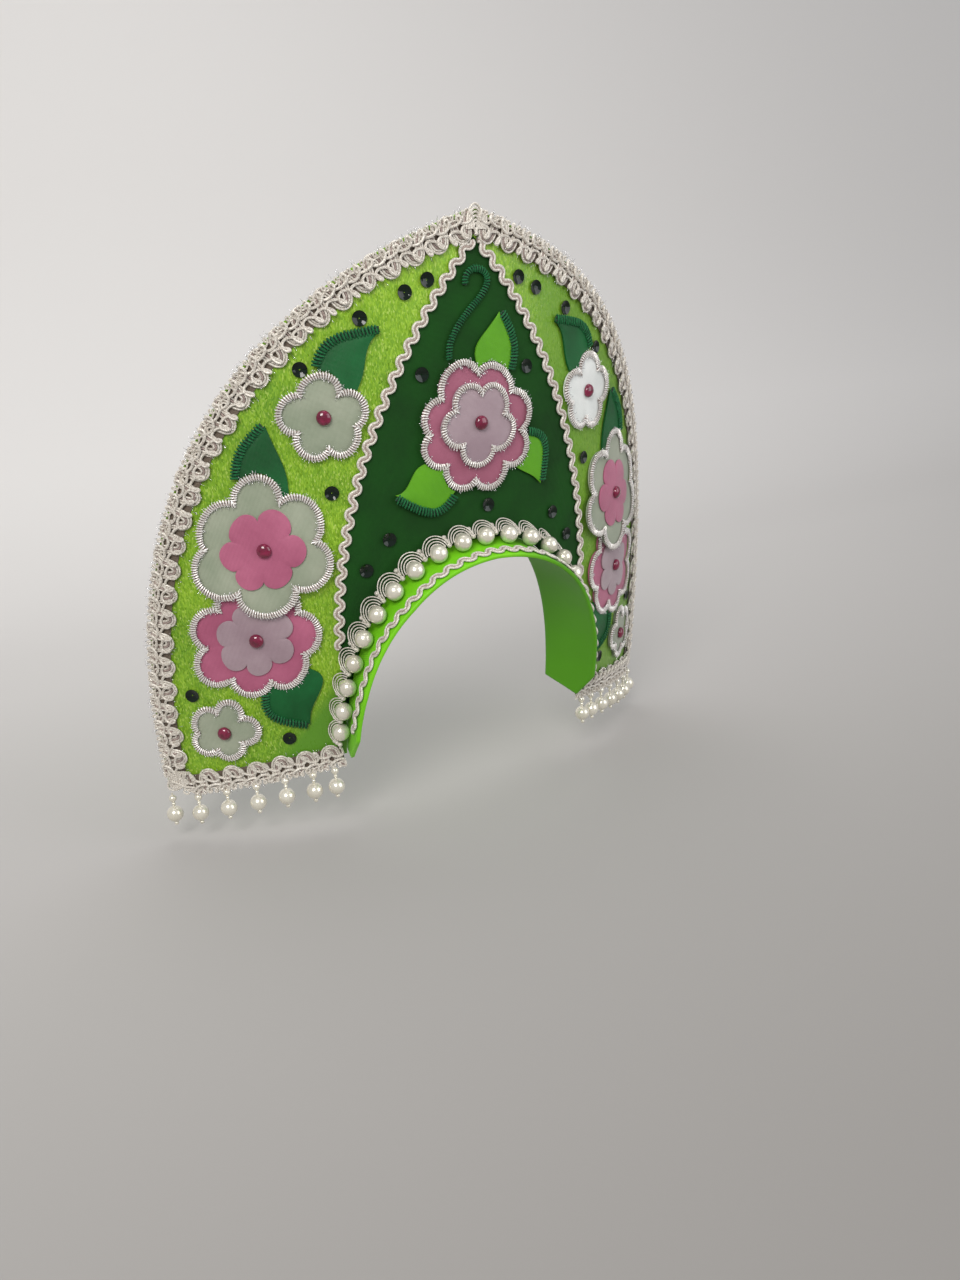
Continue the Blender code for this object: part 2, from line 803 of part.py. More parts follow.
def build_outer_braids(group):
    inner, outer = outer_braid_edges()
    rows = []
    for near, far in zip(inner, outer):
        rows.append([on_shield(near[0], near[1], SEAT_LIFT), on_shield(far[0], far[1], SEAT_LIFT)])
    for side in (-1, 1):
        name = side_name(side) + "_outer_braid"
        mesh = sheet(name, mirror_rows(rows, side), FRONT)
        thicken(add_object(name, mesh, group, "silver"), BRAID_THICKNESS, True)


def build_seam_braids(group):
    fine = even_curve([seam(i / 200.0) for i in range(201)])
    length = fine.length * (SEAM_BRAID_END - SEAM_BRAID_START)
    count = 2 * round(length / BRAID_PERIOD)
    places = [fine(lerp(SEAM_BRAID_START, SEAM_BRAID_END, i / count)) for i in range(count + 1)]
    inner, outer = strip_edges(places, SEAM_BRAID_WIDTH / 2.0, BRAID_WAVE)
    rows = []
    for near, far in zip(inner, outer):
        rows.append([on_shield(near[0], near[1], SEAT_LIFT), on_shield(far[0], far[1], SEAT_LIFT)])
    for side in (-1, 1):
        name = side_name(side) + "_seam_braid"
        mesh = sheet(name, mirror_rows(rows, side), FRONT)
        thicken(add_object(name, mesh, group, "silver"), SEAM_BRAID_THICKNESS, True)


# Appliques

def petal_outline(petals, radius):
    """Angles and distances round a flower: four points to a petal, deep at the notches."""
    points = []
    for i, (tip, reach, notch, depth) in enumerate(petals):
        _, _, before, shallow = petals[i - 1]
        while before > tip:
            before -= 360.0
        after = notch
        while after < tip:
            after += 360.0
        points.append((before, shallow * radius))
        points.append((lerp(before, tip, 0.36), lerp(shallow, reach, 0.76) * radius))
        points.append((tip, reach * radius))
        points.append((lerp(after, tip, 0.36), lerp(depth, reach, 0.76) * radius))
    return sorted((angle % 360.0, size) for angle, size in points)


def outline_reach(points, angle):
    angle %= 360.0
    ring = points + [(points[0][0] + 360.0, points[0][1])]
    if angle < ring[0][0]:
        angle += 360.0
    for (a0, r0), (a1, r1) in zip(ring, ring[1:]):
        if a0 <= angle <= a1 and a1 > a0:
            return lerp(r0, r1, (angle - a0) / (a1 - a0))
    return ring[0][1]


def flower_place(key):
    return FLOWERS[key][0] * HALF_WIDTH, FLOWERS[key][1] * TOP_HEIGHT


def overlay_lift(key, z):
    """How far the big flower leans out, so that it lies over the low one."""
    if key != "big":
        return 0.0
    _, low_height = flower_place("low")
    hinge = flower_place("big")[1] + HEARTS["big"][0]
    resting = low_height + HEARTS["low"][0]
    return OVERLAY_RISE * max(hinge - z, 0.0) / (hinge - resting)


def plaque_rows(key, points, rings, lift):
    """Rows from the middle to the rim of a flower or a heart."""
    x0, z0 = flower_place(key)
    rows = []
    for ring in range(rings + 1):
        row = []
        for angle, reach in points + points[:1]:
            turn = math.radians(angle)
            size = reach * ring / rings
            x, z = x0, z0
            if ring:
                slope_x, slope_z = surface_slopes(x0, z0)
                x += size * math.cos(turn) / math.hypot(1.0, slope_x)
                z += size * math.sin(turn) / math.hypot(1.0, slope_z)
            row.append(on_shield(x, z, lift + overlay_lift(key, z)))
        rows.append(row)
    return rows


def motif_sides(key):
    return (1,) if key == "centre" else (-1, 1)


def motif_name(key, side, kind):
    return key + "_" + kind if key == "centre" else side_name(side) + "_" + key + "_" + kind


def flower_colour(key, side):
    if key == "small_top" and side > 0:
        return "white"
    return {"low": "pink", "centre": "rose"}.get(key, "grey_green")


def build_flowers(group):
    for key, (_, _, radius, petals, rings) in FLOWERS.items():
        rows = plaque_rows(key, petal_outline(petals, radius), rings, SEAT_LIFT)
        for side in motif_sides(key):
            name = motif_name(key, side, "flower")
            item = add_object(name, sheet(name, mirror_rows(rows, side), FRONT), group, flower_colour(key, side))
            thicken(item, PETAL_THICKNESS, True)


def build_hearts(group):
    lift = SEAT_LIFT + PETAL_THICKNESS + CLEARANCE
    for key, (radius, petals) in HEARTS.items():
        rows = plaque_rows(key, petal_outline(petals, radius), 1, lift)
        for side in motif_sides(key):
            name = motif_name(key, side, "heart")
            colour = "pink" if key == "big" else "lilac"
            item = add_object(name, sheet(name, mirror_rows(rows, side), FRONT), group, colour)
            thicken(item, HEART_THICKNESS, True)


def build_stones(group):
    profile = [
        (0.0, STONE_HEIGHT),
        (STONE_RADIUS * 0.7, STONE_HEIGHT * 0.72),
        (STONE_RADIUS, STONE_HEIGHT * 0.25),
        (STONE_RADIUS, 0.0),
        (0.0, 0.0),
    ]
    for key in FLOWERS:
        x, z = flower_place(key)
        lift = SEAT_LIFT + PETAL_THICKNESS + CLEARANCE + overlay_lift(key, z)
        if key in HEARTS:
            lift += HEART_THICKNESS + CLEARANCE
        for side in motif_sides(key):
            name = motif_name(key, side, "stone")
            item = add_turned(name, profile, 10, group, "magenta")
            item.location = on_shield(x * side, z, lift)
            item.rotation_euler = front_normal(x * side, z).to_track_quat("Z", "Y").to_euler()


def leaf_room(key):
    """What a leaf's reach to the side is a share of: beside the trim, the room up to it."""
    if key == "low":
        return flower_place(key)[0] - ARCH_HALF_WIDTH - FAN_EDGE
    return FLOWERS[key][2]


def leaf_rows(row):
    key, tip_x, tip_z, cord_angle, cord_bulge, cord_twist, plain_angle, plain_bulge, plain_twist = row
    radius, petals = FLOWERS[key][2], FLOWERS[key][3]
    points = petal_outline(petals, radius)
    gap = SEAT_LIFT + CLEARANCE

    def base(angle):
        reach = max(outline_reach(points, angle + turn) for turn in range(-9, 10, 3)) + gap
        return Vector((reach * math.cos(math.radians(angle)), reach * math.sin(math.radians(angle))))

    tip = Vector((tip_x * leaf_room(key), tip_z * radius))
    cord_start, plain_start = base(cord_angle), base(plain_angle)
    along = (tip - (cord_start + plain_start) / 2.0).normalized()
    away = Vector((-along.y, along.x))
    if away.dot(cord_start - plain_start) < 0.0:
        away = -away
    x0, z0 = flower_place(key)
    slope_x, slope_z = surface_slopes(x0, z0)
    rows = []
    for i in range(6):
        v = i / 5.0
        swell, turn = math.sin(math.pi * v), math.sin(2.0 * math.pi * v)
        cord = cord_start.lerp(tip, v) + away * radius * (cord_bulge * swell + cord_twist * turn)
        plain = plain_start.lerp(tip, v) - away * radius * (plain_bulge * swell + plain_twist * turn)
        places = []
        for u in (0.0, 1.0 / 3.0, 2.0 / 3.0, 1.0):
            shift = base(lerp(cord_angle, plain_angle, u)) - cord_start.lerp(plain_start, u)
            places.append(cord.lerp(plain, u) + shift * (1.0 - v) ** 2)
        cord_edge = base(cord_angle - math.copysign(5.0, plain_angle - cord_angle)) - cord_start
        outside = (away * CORD_WIDTH).lerp(cord_edge.normalized() * CORD_WIDTH, (1.0 - v) ** 3)
        places.insert(0, places[0] + outside)
        rows.append([on_shield(x0 + p.x / math.hypot(1.0, slope_x), z0 + p.y / math.hypot(1.0, slope_z), SEAT_LIFT)
                     for p in places])
    return rows


def build_leaves(group):
    for key, row in LEAVES.items():
        rows = leaf_rows(row)
        sides = motif_sides(row[0])
        for side in sides:
            name = key if len(sides) == 1 else side_name(side) + "_" + key
            colour = "grass_green" if row[0] == "centre" else "leaf_green"
            placed = mirror_rows(rows, side)
            item = add_object(name, sheet(name, placed, FRONT), group, colour)
            thickness = item.vertex_groups.new(name="thickness")
            ridge = [line[1] for line in placed]
            skirt = [line[0] for line in placed]
            for vert in item.data.vertices:
                on_ridge = min((vert.co - point).length for point in ridge) < 0.00001
                on_skirt = min((vert.co - point).length for point in skirt) < 0.00001
                weight = 1.0 if on_ridge else 0.75 if on_skirt else LEAF_THICKNESS / CORD_THICKNESS
                thickness.add([vert.index], weight, "REPLACE")
            wall = thicken(item, CORD_THICKNESS, True)
            wall.use_even_offset = False
            wall.vertex_group = "thickness"


def build_stem(group):
    curve = bpy.data.curves.new("stem", "CURVE")
    curve.dimensions = "3D"
    curve.bevel_depth = STEM_RADIUS
    curve.bevel_resolution = 2
    curve.use_fill_caps = True
    line = curve.splines.new("POLY")
    line.points.add(len(STEM) - 1)
    for point, (x, z) in zip(line.points, STEM):
        place = on_shield(x * HALF_WIDTH, z * TOP_HEIGHT, SEAT_LIFT + STEM_RADIUS)
        point.co = (place.x, place.y, place.z, 1.0)
    add_object("stem", curve, group, "leaf_green")


# Pendants

def build_pendants(group):
    profile = [(0.0, 0.0)]
    for radius, drop in PENDANT_PROFILE:
        profile.append((radius * PENDANT_PEARL_RADIUS, -drop * PENDANT_LENGTH))
    profile.append((0.0, -PENDANT_LENGTH))
    for number, share in enumerate(PENDANTS, 1):
        x = share * HALF_WIDTH
        edge = on_shield(x, braid_foot(x), SEAT_LIFT + BRAID_THICKNESS / 2.0)
        for side in (-1, 1):
            name = side_name(side) + "_pendant_" + str(number)
            item = add_turned(name, profile, 10, group, "pearl")
            item.location = (edge.x * side, edge.y, edge.z - CLEARANCE)


def main():
    clear_scene()
    group = make_collection("kokoshnik_headdress")
    guides = make_collection("joined_shapes")
    build_panels(group, guides)
    build_hoop(group)
    build_hoop_braid(group)
    build_pearl_trim(group, guides)
    build_outer_braids(group)
    build_seam_braids(group)
    build_flowers(group)
    build_hearts(group)
    build_stones(group)
    build_leaves(group)
    build_stem(group)
    build_pendants(group)


main()
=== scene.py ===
# %% [markdown]
# # A kokoshnik headdress, dressed over its solid model
# The headdress is a tall board covered in cloth, on a hoop that goes round the head.
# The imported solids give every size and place. This lesson puts cloth, braid, pearls
# and stones over them, and it keeps the solids where they were.

# %% Load the solids
import bpy
import math
import random
import numpy as np
from mathutils import Matrix, Vector


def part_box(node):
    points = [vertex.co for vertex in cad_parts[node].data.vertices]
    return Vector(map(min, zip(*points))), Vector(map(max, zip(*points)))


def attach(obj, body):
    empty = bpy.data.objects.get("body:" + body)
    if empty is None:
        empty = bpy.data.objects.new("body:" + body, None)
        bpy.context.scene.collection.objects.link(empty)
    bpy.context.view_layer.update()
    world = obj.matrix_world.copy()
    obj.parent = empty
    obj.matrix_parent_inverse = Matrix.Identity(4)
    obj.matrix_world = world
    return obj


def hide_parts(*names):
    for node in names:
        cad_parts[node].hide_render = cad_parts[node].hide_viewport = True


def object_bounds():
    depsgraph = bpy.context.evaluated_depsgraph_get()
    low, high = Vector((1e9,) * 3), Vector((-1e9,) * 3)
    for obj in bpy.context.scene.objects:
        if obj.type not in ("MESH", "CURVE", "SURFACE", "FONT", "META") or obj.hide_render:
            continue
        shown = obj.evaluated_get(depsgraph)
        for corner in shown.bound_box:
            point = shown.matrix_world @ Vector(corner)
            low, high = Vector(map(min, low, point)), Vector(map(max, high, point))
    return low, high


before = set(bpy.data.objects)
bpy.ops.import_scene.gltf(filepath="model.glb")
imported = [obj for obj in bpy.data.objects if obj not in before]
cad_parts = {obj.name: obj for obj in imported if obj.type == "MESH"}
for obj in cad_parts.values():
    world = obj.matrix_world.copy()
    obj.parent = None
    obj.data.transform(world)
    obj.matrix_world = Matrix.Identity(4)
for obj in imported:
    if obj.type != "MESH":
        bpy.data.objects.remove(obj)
cad_box = [list(corner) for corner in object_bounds()]
random.seed(11)
print("nodes:", len(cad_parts), "box:", cad_box)

# %% [markdown]
# The camera comes first. The view is
# from the viewer's left and a little above, close enough to give strong perspective.
# The camera's own axes are written down as directions: right, down and forward.

# %% Camera
right = Vector((0.844, -0.531, -0.076)).normalized()
forward = Vector((0.497, 0.827, -0.262)).normalized()
up = right.cross(forward).normalized()
right = forward.cross(up).normalized()
camera_data = bpy.data.cameras.new("camera")
camera = bpy.data.objects.new("camera", camera_data)
bpy.context.scene.collection.objects.link(camera)
camera_data.sensor_fit = "VERTICAL"
camera_data.angle = 2.0 * math.atan(640.0 / 1030.0)
camera_data.clip_start = 0.01
turn = Matrix((right, up, -forward)).transposed().to_4x4()
turn.translation = Vector((-0.311, -0.510, 0.104))
camera.matrix_world = turn
bpy.context.scene.camera = camera
print("camera looks along", [round(v, 3) for v in forward])

# %% [markdown]
# The shield is one curved surface: it leans back, bows a little and sweeps back at
# the sides. Every piece on it is laid out flat in x and z, and then lifted onto that
# surface. The sizes are the same as in the solid model.

# %% The shield's surface
HALF_WIDTH = 0.180
TOP_HEIGHT = 0.181
BOARD = 0.003
SEAT = 0.0005


def surface_y(x, z):
    return -0.13 * z + 0.13 * z * z + 0.0705 * (abs(x) / HALF_WIDTH) ** 2.17


def slopes(x, z):
    across = 0.0705 * 2.17 / HALF_WIDTH * (abs(x) / HALF_WIDTH) ** 1.17
    return math.copysign(across, x), -0.13 + 0.26 * z


def normal_at(x, z):
    across, rise = slopes(x, z)
    return Vector((across, -1.0, rise)).normalized()


def on_shield(x, z, lift=0.0):
    return Vector((x, surface_y(x, z), z)) + normal_at(x, z) * lift


def beside(x, z, across, rise):
    slope_x, slope_z = slopes(x, z)
    return x + across / math.hypot(1.0, slope_x), z + rise / math.hypot(1.0, slope_z)


def mix(a, b, share):
    return a + (b - a) * share


print("the side edge lies", round(surface_y(0.18, -0.08) * 1000), "mm behind the middle")

# %% [markdown]
# Three flat curves shape everything: the outline, the seam between the panels and
# the arch over the hoop. A helper turns a list of points into a curve that is read
# by the share of its length, so that stitches and loops come out evenly spaced.

# %% The three curves


def even(points):
    array = np.array(points, float)
    steps = np.hypot(*(array[1:] - array[:-1]).T)
    lengths = np.concatenate([[0.0], np.cumsum(steps)])

    def at(share):
        goal = min(max(share, 0.0), 1.0) * lengths[-1]
        return tuple(float(np.interp(goal, lengths, array[:, k])) for k in range(2))

    return at


ARCH_HALF_WIDTH = 0.084
ARCH_FOOT = -0.117
OUTER_FOOT = -0.130
TIP_HANDLE = 0.049
ROUNDNESS = 2.0 / 2.3


def outline_points():
    droop = math.radians(20.0)
    p0 = (0.0, TOP_HEIGHT)
    p1 = (TIP_HANDLE * math.cos(droop), TOP_HEIGHT - TIP_HANDLE * math.sin(droop))
    p2 = (HALF_WIDTH, 0.137)
    p3 = (HALF_WIDTH, -0.0795)
    points = []
    for i in range(241):
        t = i / 240.0
        w = ((1 - t) ** 3, 3 * (1 - t) ** 2 * t, 3 * (1 - t) * t * t, t ** 3)
        points.append([sum(a * p[k] for a, p in zip(w, (p0, p1, p2, p3))) for k in range(2)])
    return points + [[HALF_WIDTH - 0.002, OUTER_FOOT]]


def arch_points():
    top = 0.0025 * math.hypot(1.0, 0.36)
    points = []
    for i in range(301):
        angle = math.pi / 2.0 * i / 300.0
        z = ARCH_FOOT + (top - ARCH_FOOT) * max(math.cos(angle), 0.0) ** ROUNDNESS
        points.append([ARCH_HALF_WIDTH * math.sin(angle) ** ROUNDNESS, z])
    return points


outline = even(outline_points())
arch = even(arch_points())
SEAM_R = 0.312
SEAM_Z = -0.048
SEAM_TOP = TOP_HEIGHT - 0.014
SEAM_X = -math.sqrt(SEAM_R ** 2 - (SEAM_TOP - SEAM_Z) ** 2)


def arch_normal(share):
    x0, z0 = arch(max(share - 0.004, 0.0))
    x1, z1 = arch(min(share + 0.004, 1.0))
    size = math.hypot(x1 - x0, z1 - z0)
    return (0.0, 1.0) if share == 0.0 else (-(z1 - z0) / size, (x1 - x0) / size)


def arch_edge(share):
    x, z = arch(share)
    nx, nz = arch_normal(share)
    return beside(x, z, nx * 0.0009, nz * 0.0009)


CROSSING = 0.8155
SEAM_FOOT = arch(CROSSING)[1]


def seam(share):
    start = math.asin((SEAM_TOP - SEAM_Z) / SEAM_R)
    angle = mix(start, math.asin((SEAM_FOOT - SEAM_Z) / SEAM_R), share)
    return SEAM_X + SEAM_R * math.cos(angle), SEAM_Z + SEAM_R * math.sin(angle)


def seam_beside(share, distance):
    x, z = seam(share)
    return beside(x, z, (x - SEAM_X) / SEAM_R * distance, (z - SEAM_Z) / SEAM_R * distance)


print("seam meets the arch at", [round(v * 1000, 1) for v in seam(1.0)])

# %% [markdown]
# Materials are made from nodes on Object coordinates. A woven cloth has two sets of
# threads at right angles, slow changes of tone and a soft sheen. One helper makes the
# common parts, and each finish adds its own.

# %% Helpers for materials


def srgb(r, g, b):
    out = []
    for value in (r, g, b):
        v = value / 255.0
        out.append(v / 12.92 if v <= 0.04045 else ((v + 0.055) / 1.055) ** 2.4)
    return (out[0], out[1], out[2], 1.0)


def grey(level):
    return (level, level, level, 1.0)


def node(tree, kind, **values):
    made = tree.nodes.new(kind)
    for key, value in values.items():
        if key in made.inputs:
            made.inputs[key].default_value = value
        else:
            setattr(made, key, value)
    return made


def start_material(name, roughness, metallic=0.0):
    material = bpy.data.materials.new(name)
    material.use_nodes = True
    tree = material.node_tree
    shader = tree.nodes["Principled BSDF"]
    shader.inputs["Roughness"].default_value = roughness
    shader.inputs["Metallic"].default_value = metallic
    place = tree.nodes.new("ShaderNodeTexCoord")
    return material, tree, shader, place.outputs["Object"]


def ramp(tree, source, stops):
    made = tree.nodes.new("ShaderNodeValToRGB")
    tree.links.new(source, made.inputs["Fac"])
    while len(made.color_ramp.elements) < len(stops):
        made.color_ramp.elements.new(0.5)
    for element, (place, colour) in zip(made.color_ramp.elements, stops):
        element.position = place
        element.color = colour
    return made.outputs["Color"]


def noise(tree, place, **values):
    made = node(tree, "ShaderNodeTexNoise", **values)
    tree.links.new(place, made.inputs["Vector"])
    return made.outputs["Fac"]


def mixed(tree, factor, first, second, way="MIX"):
    """Two colours mixed. Each value is a number, a colour or another node's output."""
    made = node(tree, "ShaderNodeMix", data_type="RGBA", blend_type=way)
    for name, value in (("Factor", factor), ("A", first), ("B", second)):
        if isinstance(value, bpy.types.NodeSocket):
            tree.links.new(value, made.inputs[name])
        else:
            made.inputs[name].default_value = value
    return made.outputs["Result"]


def calculate(tree, operation, source, value):
    made = node(tree, "ShaderNodeMath", operation=operation)
    tree.links.new(source, made.inputs[0])
    if isinstance(value, float):
        made.inputs[1].default_value = value
    else:
        tree.links.new(value, made.inputs[1])
    return made.outputs[0]


def bumped(tree, shader, height, strength, distance):
    bump = tree.nodes.new("ShaderNodeBump")
    bump.inputs["Strength"].default_value = strength
    bump.inputs["Distance"].default_value = distance
    tree.links.new(height, bump.inputs["Height"])
    tree.links.new(bump.outputs["Normal"], shader.inputs["Normal"])


def weave(tree, place, pitch):
    """Warp and weft as two sets of fine bands, added together."""
    waves = []
    for direction in ("X", "Z"):
        wave = node(tree, "ShaderNodeTexWave", wave_type="BANDS", bands_direction=direction)
        wave.inputs["Scale"].default_value = 0.314 / pitch
        wave.inputs["Distortion"].default_value = 0.6
        wave.inputs["Detail Scale"].default_value = 3.0
        tree.links.new(place, wave.inputs["Vector"])
        waves.append(wave.outputs["Fac"])
    return calculate(tree, "ADD", waves[0], waves[1])


def cloth(name, dark, light, roughness=0.5, sheen=0.25, pitch=0.0006, depth=0.00012):
    material, tree, shader, place = start_material(name, roughness)
    tone = noise(tree, place, Scale=26.0, Detail=5.0, Roughness=0.6)
    colour = ramp(tree, tone, [(0.35, dark), (0.65, light)])
    threads = weave(tree, place, pitch)
    tree.links.new(mixed(tree, 0.22, colour, threads, "MULTIPLY"), shader.inputs["Base Color"])
    shader.inputs["Sheen Weight"].default_value = sheen
    shader.inputs["Specular IOR Level"].default_value = 0.3
    bumped(tree, shader, threads, 0.5, depth)
    return material


print("material helpers ready")

# %% [markdown]
# The side panels are a sparkling brocade: short bright dashes of foil thread in a lime
# ground. Cells of a Voronoi texture, squeezed so that they are long one way, give the
# dashes, and the same cells make some of them smoother and more metallic. The low inner
# part of each panel is painted darker and plain, without metal, as painted shade, and
# the panel on the wearer's left is painted darker, also as painted shade.

# %% Brocade


def brocade(name):
    material, tree, shader, place = start_material(name, 0.42)
    squeeze = node(tree, "ShaderNodeMapping")
    squeeze.inputs["Rotation"].default_value = (0.0, math.radians(35.0), 0.0)
    squeeze.inputs["Scale"].default_value = (1700.0, 1700.0, 650.0)
    tree.links.new(place, squeeze.inputs["Vector"])
    cells = node(tree, "ShaderNodeTexVoronoi", Scale=1.0)
    tree.links.new(squeeze.outputs["Vector"], cells.inputs["Vector"])
    split = tree.nodes.new("ShaderNodeSeparateColor")
    tree.links.new(cells.outputs["Color"], split.inputs["Color"])
    tone = noise(tree, place, Scale=22.0, Detail=4.0)
    ground = ramp(tree, tone, [(0.3, srgb(92, 140, 14)), (0.7, srgb(132, 176, 26))])
    dash = ramp(tree, split.outputs["Red"], [(0.0, srgb(74, 122, 8)), (0.5, srgb(134, 178, 30)),
                                             (0.88, srgb(190, 226, 70)), (1.0, srgb(240, 252, 150))])
    axes = tree.nodes.new("ShaderNodeSeparateXYZ")
    tree.links.new(place, axes.inputs["Vector"])
    across = calculate(tree, "ABSOLUTE", axes.outputs["X"], 0.0)
    slant = calculate(tree, "MULTIPLY", axes.outputs["Z"], 0.754)
    reach = calculate(tree, "ADD", across, slant)
    # plain marks the low inner part of each panel, where painted shade darkens the cloth and takes away its
    # metal.
    plain = ramp(tree, calculate(tree, "MULTIPLY", reach, 10.0), [(0.30, grey(1.0)), (0.42, grey(0.0))])
    cover = mixed(tree, plain, mixed(tree, 0.3, ground, dash), srgb(84, 138, 22))
    tree.links.new(cover, shader.inputs["Base Color"])
    gloss = ramp(tree, split.outputs["Green"], [(0.0, grey(0.55)), (0.8, grey(0.45)), (1.0, grey(0.2))])
    tree.links.new(gloss, shader.inputs["Roughness"])
    metal = ramp(tree, split.outputs["Blue"], [(0.72, grey(0.0)), (0.8, grey(0.4))])
    tree.links.new(mixed(tree, plain, metal, grey(0.0)), shader.inputs["Metallic"])
    shader.inputs["Sheen Weight"].default_value = 0.1
    bumped(tree, shader, split.outputs["Red"], 0.4, 0.00025)
    return material


def paint_side_shade(material, start, end, amount, colour):
    """Paints shade: blends the cloth towards a darker colour between two places across the headdress."""
    tree = material.node_tree
    shader = tree.nodes["Principled BSDF"]
    source = shader.inputs["Base Color"].links[0].from_socket
    place = tree.nodes.new("ShaderNodeTexCoord").outputs["Object"]
    axes = tree.nodes.new("ShaderNodeSeparateXYZ")
    tree.links.new(place, axes.inputs["Vector"])
    span = tree.nodes.new("ShaderNodeMapRange")
    tree.links.new(axes.outputs["X"], span.inputs["Value"])
    span.inputs["From Min"].default_value = start
    span.inputs["From Max"].default_value = end
    span.inputs["To Max"].default_value = amount
    tree.links.new(mixed(tree, span.outputs["Result"], source, colour), shader.inputs["Base Color"])


LIME_BROCADE = brocade("lime_brocade")
# Painted shade: the brocade is darkened on the wearer's left.
paint_side_shade(LIME_BROCADE, 0.02, 0.05, 0.7, srgb(90, 140, 4))
LIME_SATIN = cloth("lime_satin", srgb(108, 190, 16), srgb(120, 204, 24), 0.5, 0.05, 0.0004, 0.00001)
# Painted shade: the hoop's cloth is darkened on the wearer's left, where its inner side lies in shade.
paint_side_shade(LIME_SATIN, 0.012, 0.045, 1.0, srgb(76, 144, 4))
DARK_SATIN = cloth("dark_green_satin", srgb(3, 54, 1), srgb(7, 68, 3), 0.8, 0.0)
LEAF_DARK = cloth("dark_leaf_satin", srgb(5, 70, 28), srgb(16, 96, 46), 0.42, 0.0)
LEAF_BRIGHT = cloth("bright_leaf_satin", srgb(78, 144, 11), srgb(92, 160, 15), 0.45, 0.05)
GREY_SATIN = cloth("grey_green_satin", srgb(134, 144, 122), srgb(156, 162, 142), 0.42, 0.25)
WHITE_SATIN = cloth("white_satin", srgb(216, 220, 216), srgb(236, 238, 234), 0.35, 0.5)
PINK_SATIN = cloth("pink_satin", srgb(158, 80, 108), srgb(178, 98, 126), 0.42, 0.2)
ROSE_SATIN = cloth("rose_satin", srgb(146, 78, 100), srgb(162, 94, 116), 0.42, 0.2)
LILAC_SATIN = cloth("lilac_satin", srgb(146, 124, 132), srgb(166, 146, 152), 0.38, 0.3)
BACKING = cloth("backing", srgb(84, 150, 30), srgb(104, 172, 42), 0.7, 0.2, 0.0009)
print("cloths: 11")

# %% [markdown]
# Silver braid is a pale thread with a foil strand in it. Thread, chenille, pearl and
# stone each get a material: the thread shows its twist as fine bumps, chenille is
# rough and its core is painted dark as the shade between its tufts, and the pearls have
# a clear coat over a warm body.

# %% Thread, chenille, pearls, stones and sequins


def thread(name, dark, light, metallic, roughness, scale=1500.0, sheen=0.3):
    material, tree, shader, place = start_material(name, roughness, metallic)
    fine = noise(tree, place, Scale=scale, Detail=3.0, Distortion=0.6)
    colour = ramp(tree, fine, [(0.32, dark), (0.62, light)])
    tree.links.new(colour, shader.inputs["Base Color"])
    shader.inputs["Sheen Weight"].default_value = sheen
    bumped(tree, shader, fine, 0.7, 0.0003)
    return material


def coated(name, dark, light, roughness, coat, scale, soft=0.0, specular=0.5, metallic=0.0):
    material, tree, shader, place = start_material(name, roughness, metallic)
    shader.inputs["Specular IOR Level"].default_value = specular
    tone = noise(tree, place, Scale=scale, Detail=3.0)
    colour = ramp(tree, tone, [(0.3, dark), (0.7, light)])
    tree.links.new(colour, shader.inputs["Base Color"])
    shader.inputs["Coat Weight"].default_value = coat
    shader.inputs["Coat Roughness"].default_value = 0.06
    shader.inputs["Subsurface Weight"].default_value = soft
    shader.inputs["Subsurface Radius"].default_value = (0.004, 0.003, 0.002)
    return material


SILVER = thread("silver_thread", srgb(156, 144, 132), srgb(232, 227, 216), 0.15, 0.42)
FOIL = thread("foil_thread", srgb(190, 186, 190), srgb(250, 250, 250), 0.9, 0.22)
PALE_MAUVE = thread("pale_mauve_thread", srgb(116, 98, 88), srgb(178, 160, 150), 0.1, 0.5)
MAUVE = thread("mauve_thread", srgb(112, 94, 88), srgb(176, 158, 150), 0.1, 0.5)
# The braid's ground is painted shadow: a dark brown cloth that stands for the shade between the cords.
SHADOW_CLOTH = thread("braid_painted_shadow", srgb(78, 66, 54), srgb(112, 98, 84), 0.05, 0.7)
SPARKLE = thread("sparkling_thread", srgb(186, 178, 172), srgb(246, 244, 240), 0.25, 0.35, 1100.0)
CHENILLE = thread("green_chenille", srgb(2, 60, 28), srgb(10, 104, 54), 0.0, 0.8, 900.0, 0.0)
# The chenille's core is painted shade: a darker green where the shade between the tufts falls.
CHENILLE_SHADE_CORE = thread("green_chenille_painted_shade", srgb(1, 24, 10), srgb(3, 46, 22), 0.0, 0.8, 900.0)
PEARL = coated("pearl", srgb(214, 208, 190), srgb(234, 229, 214), 0.2, 1.0, 60.0, 0.0, 0.6, 0.45)
STONE = coated("magenta_stone", srgb(84, 5, 34), srgb(132, 16, 62), 0.15, 0.8, 300.0, 0.0, 0.4)
SEQUIN = coated("sequin", srgb(1, 12, 4), srgb(3, 24, 11), 0.1, 0.3, 500.0, 0.0, 0.25)
print("trims: 11")

# %% [markdown]
# A sheet starts as Blender's grid. Each of its points is moved to its place, doubled
# points are merged, and a Solidify modifier gives the wall. This one helper makes the
# panels, the hoop, the petals and the leaves, which all are curved cloth.

# %% Helpers for pieces


def make_active(item):
    bpy.ops.object.select_all(action="DESELECT")
    item.select_set(True)
    bpy.context.view_layer.objects.active = item


def finish_piece(item, material, smooth=True):
    item.data.materials.clear()
    item.data.materials.append(material)
    if smooth:
        make_active(item)
        bpy.ops.object.shade_smooth_by_angle(angle=math.radians(50.0))
    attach(item, "root")
    return item


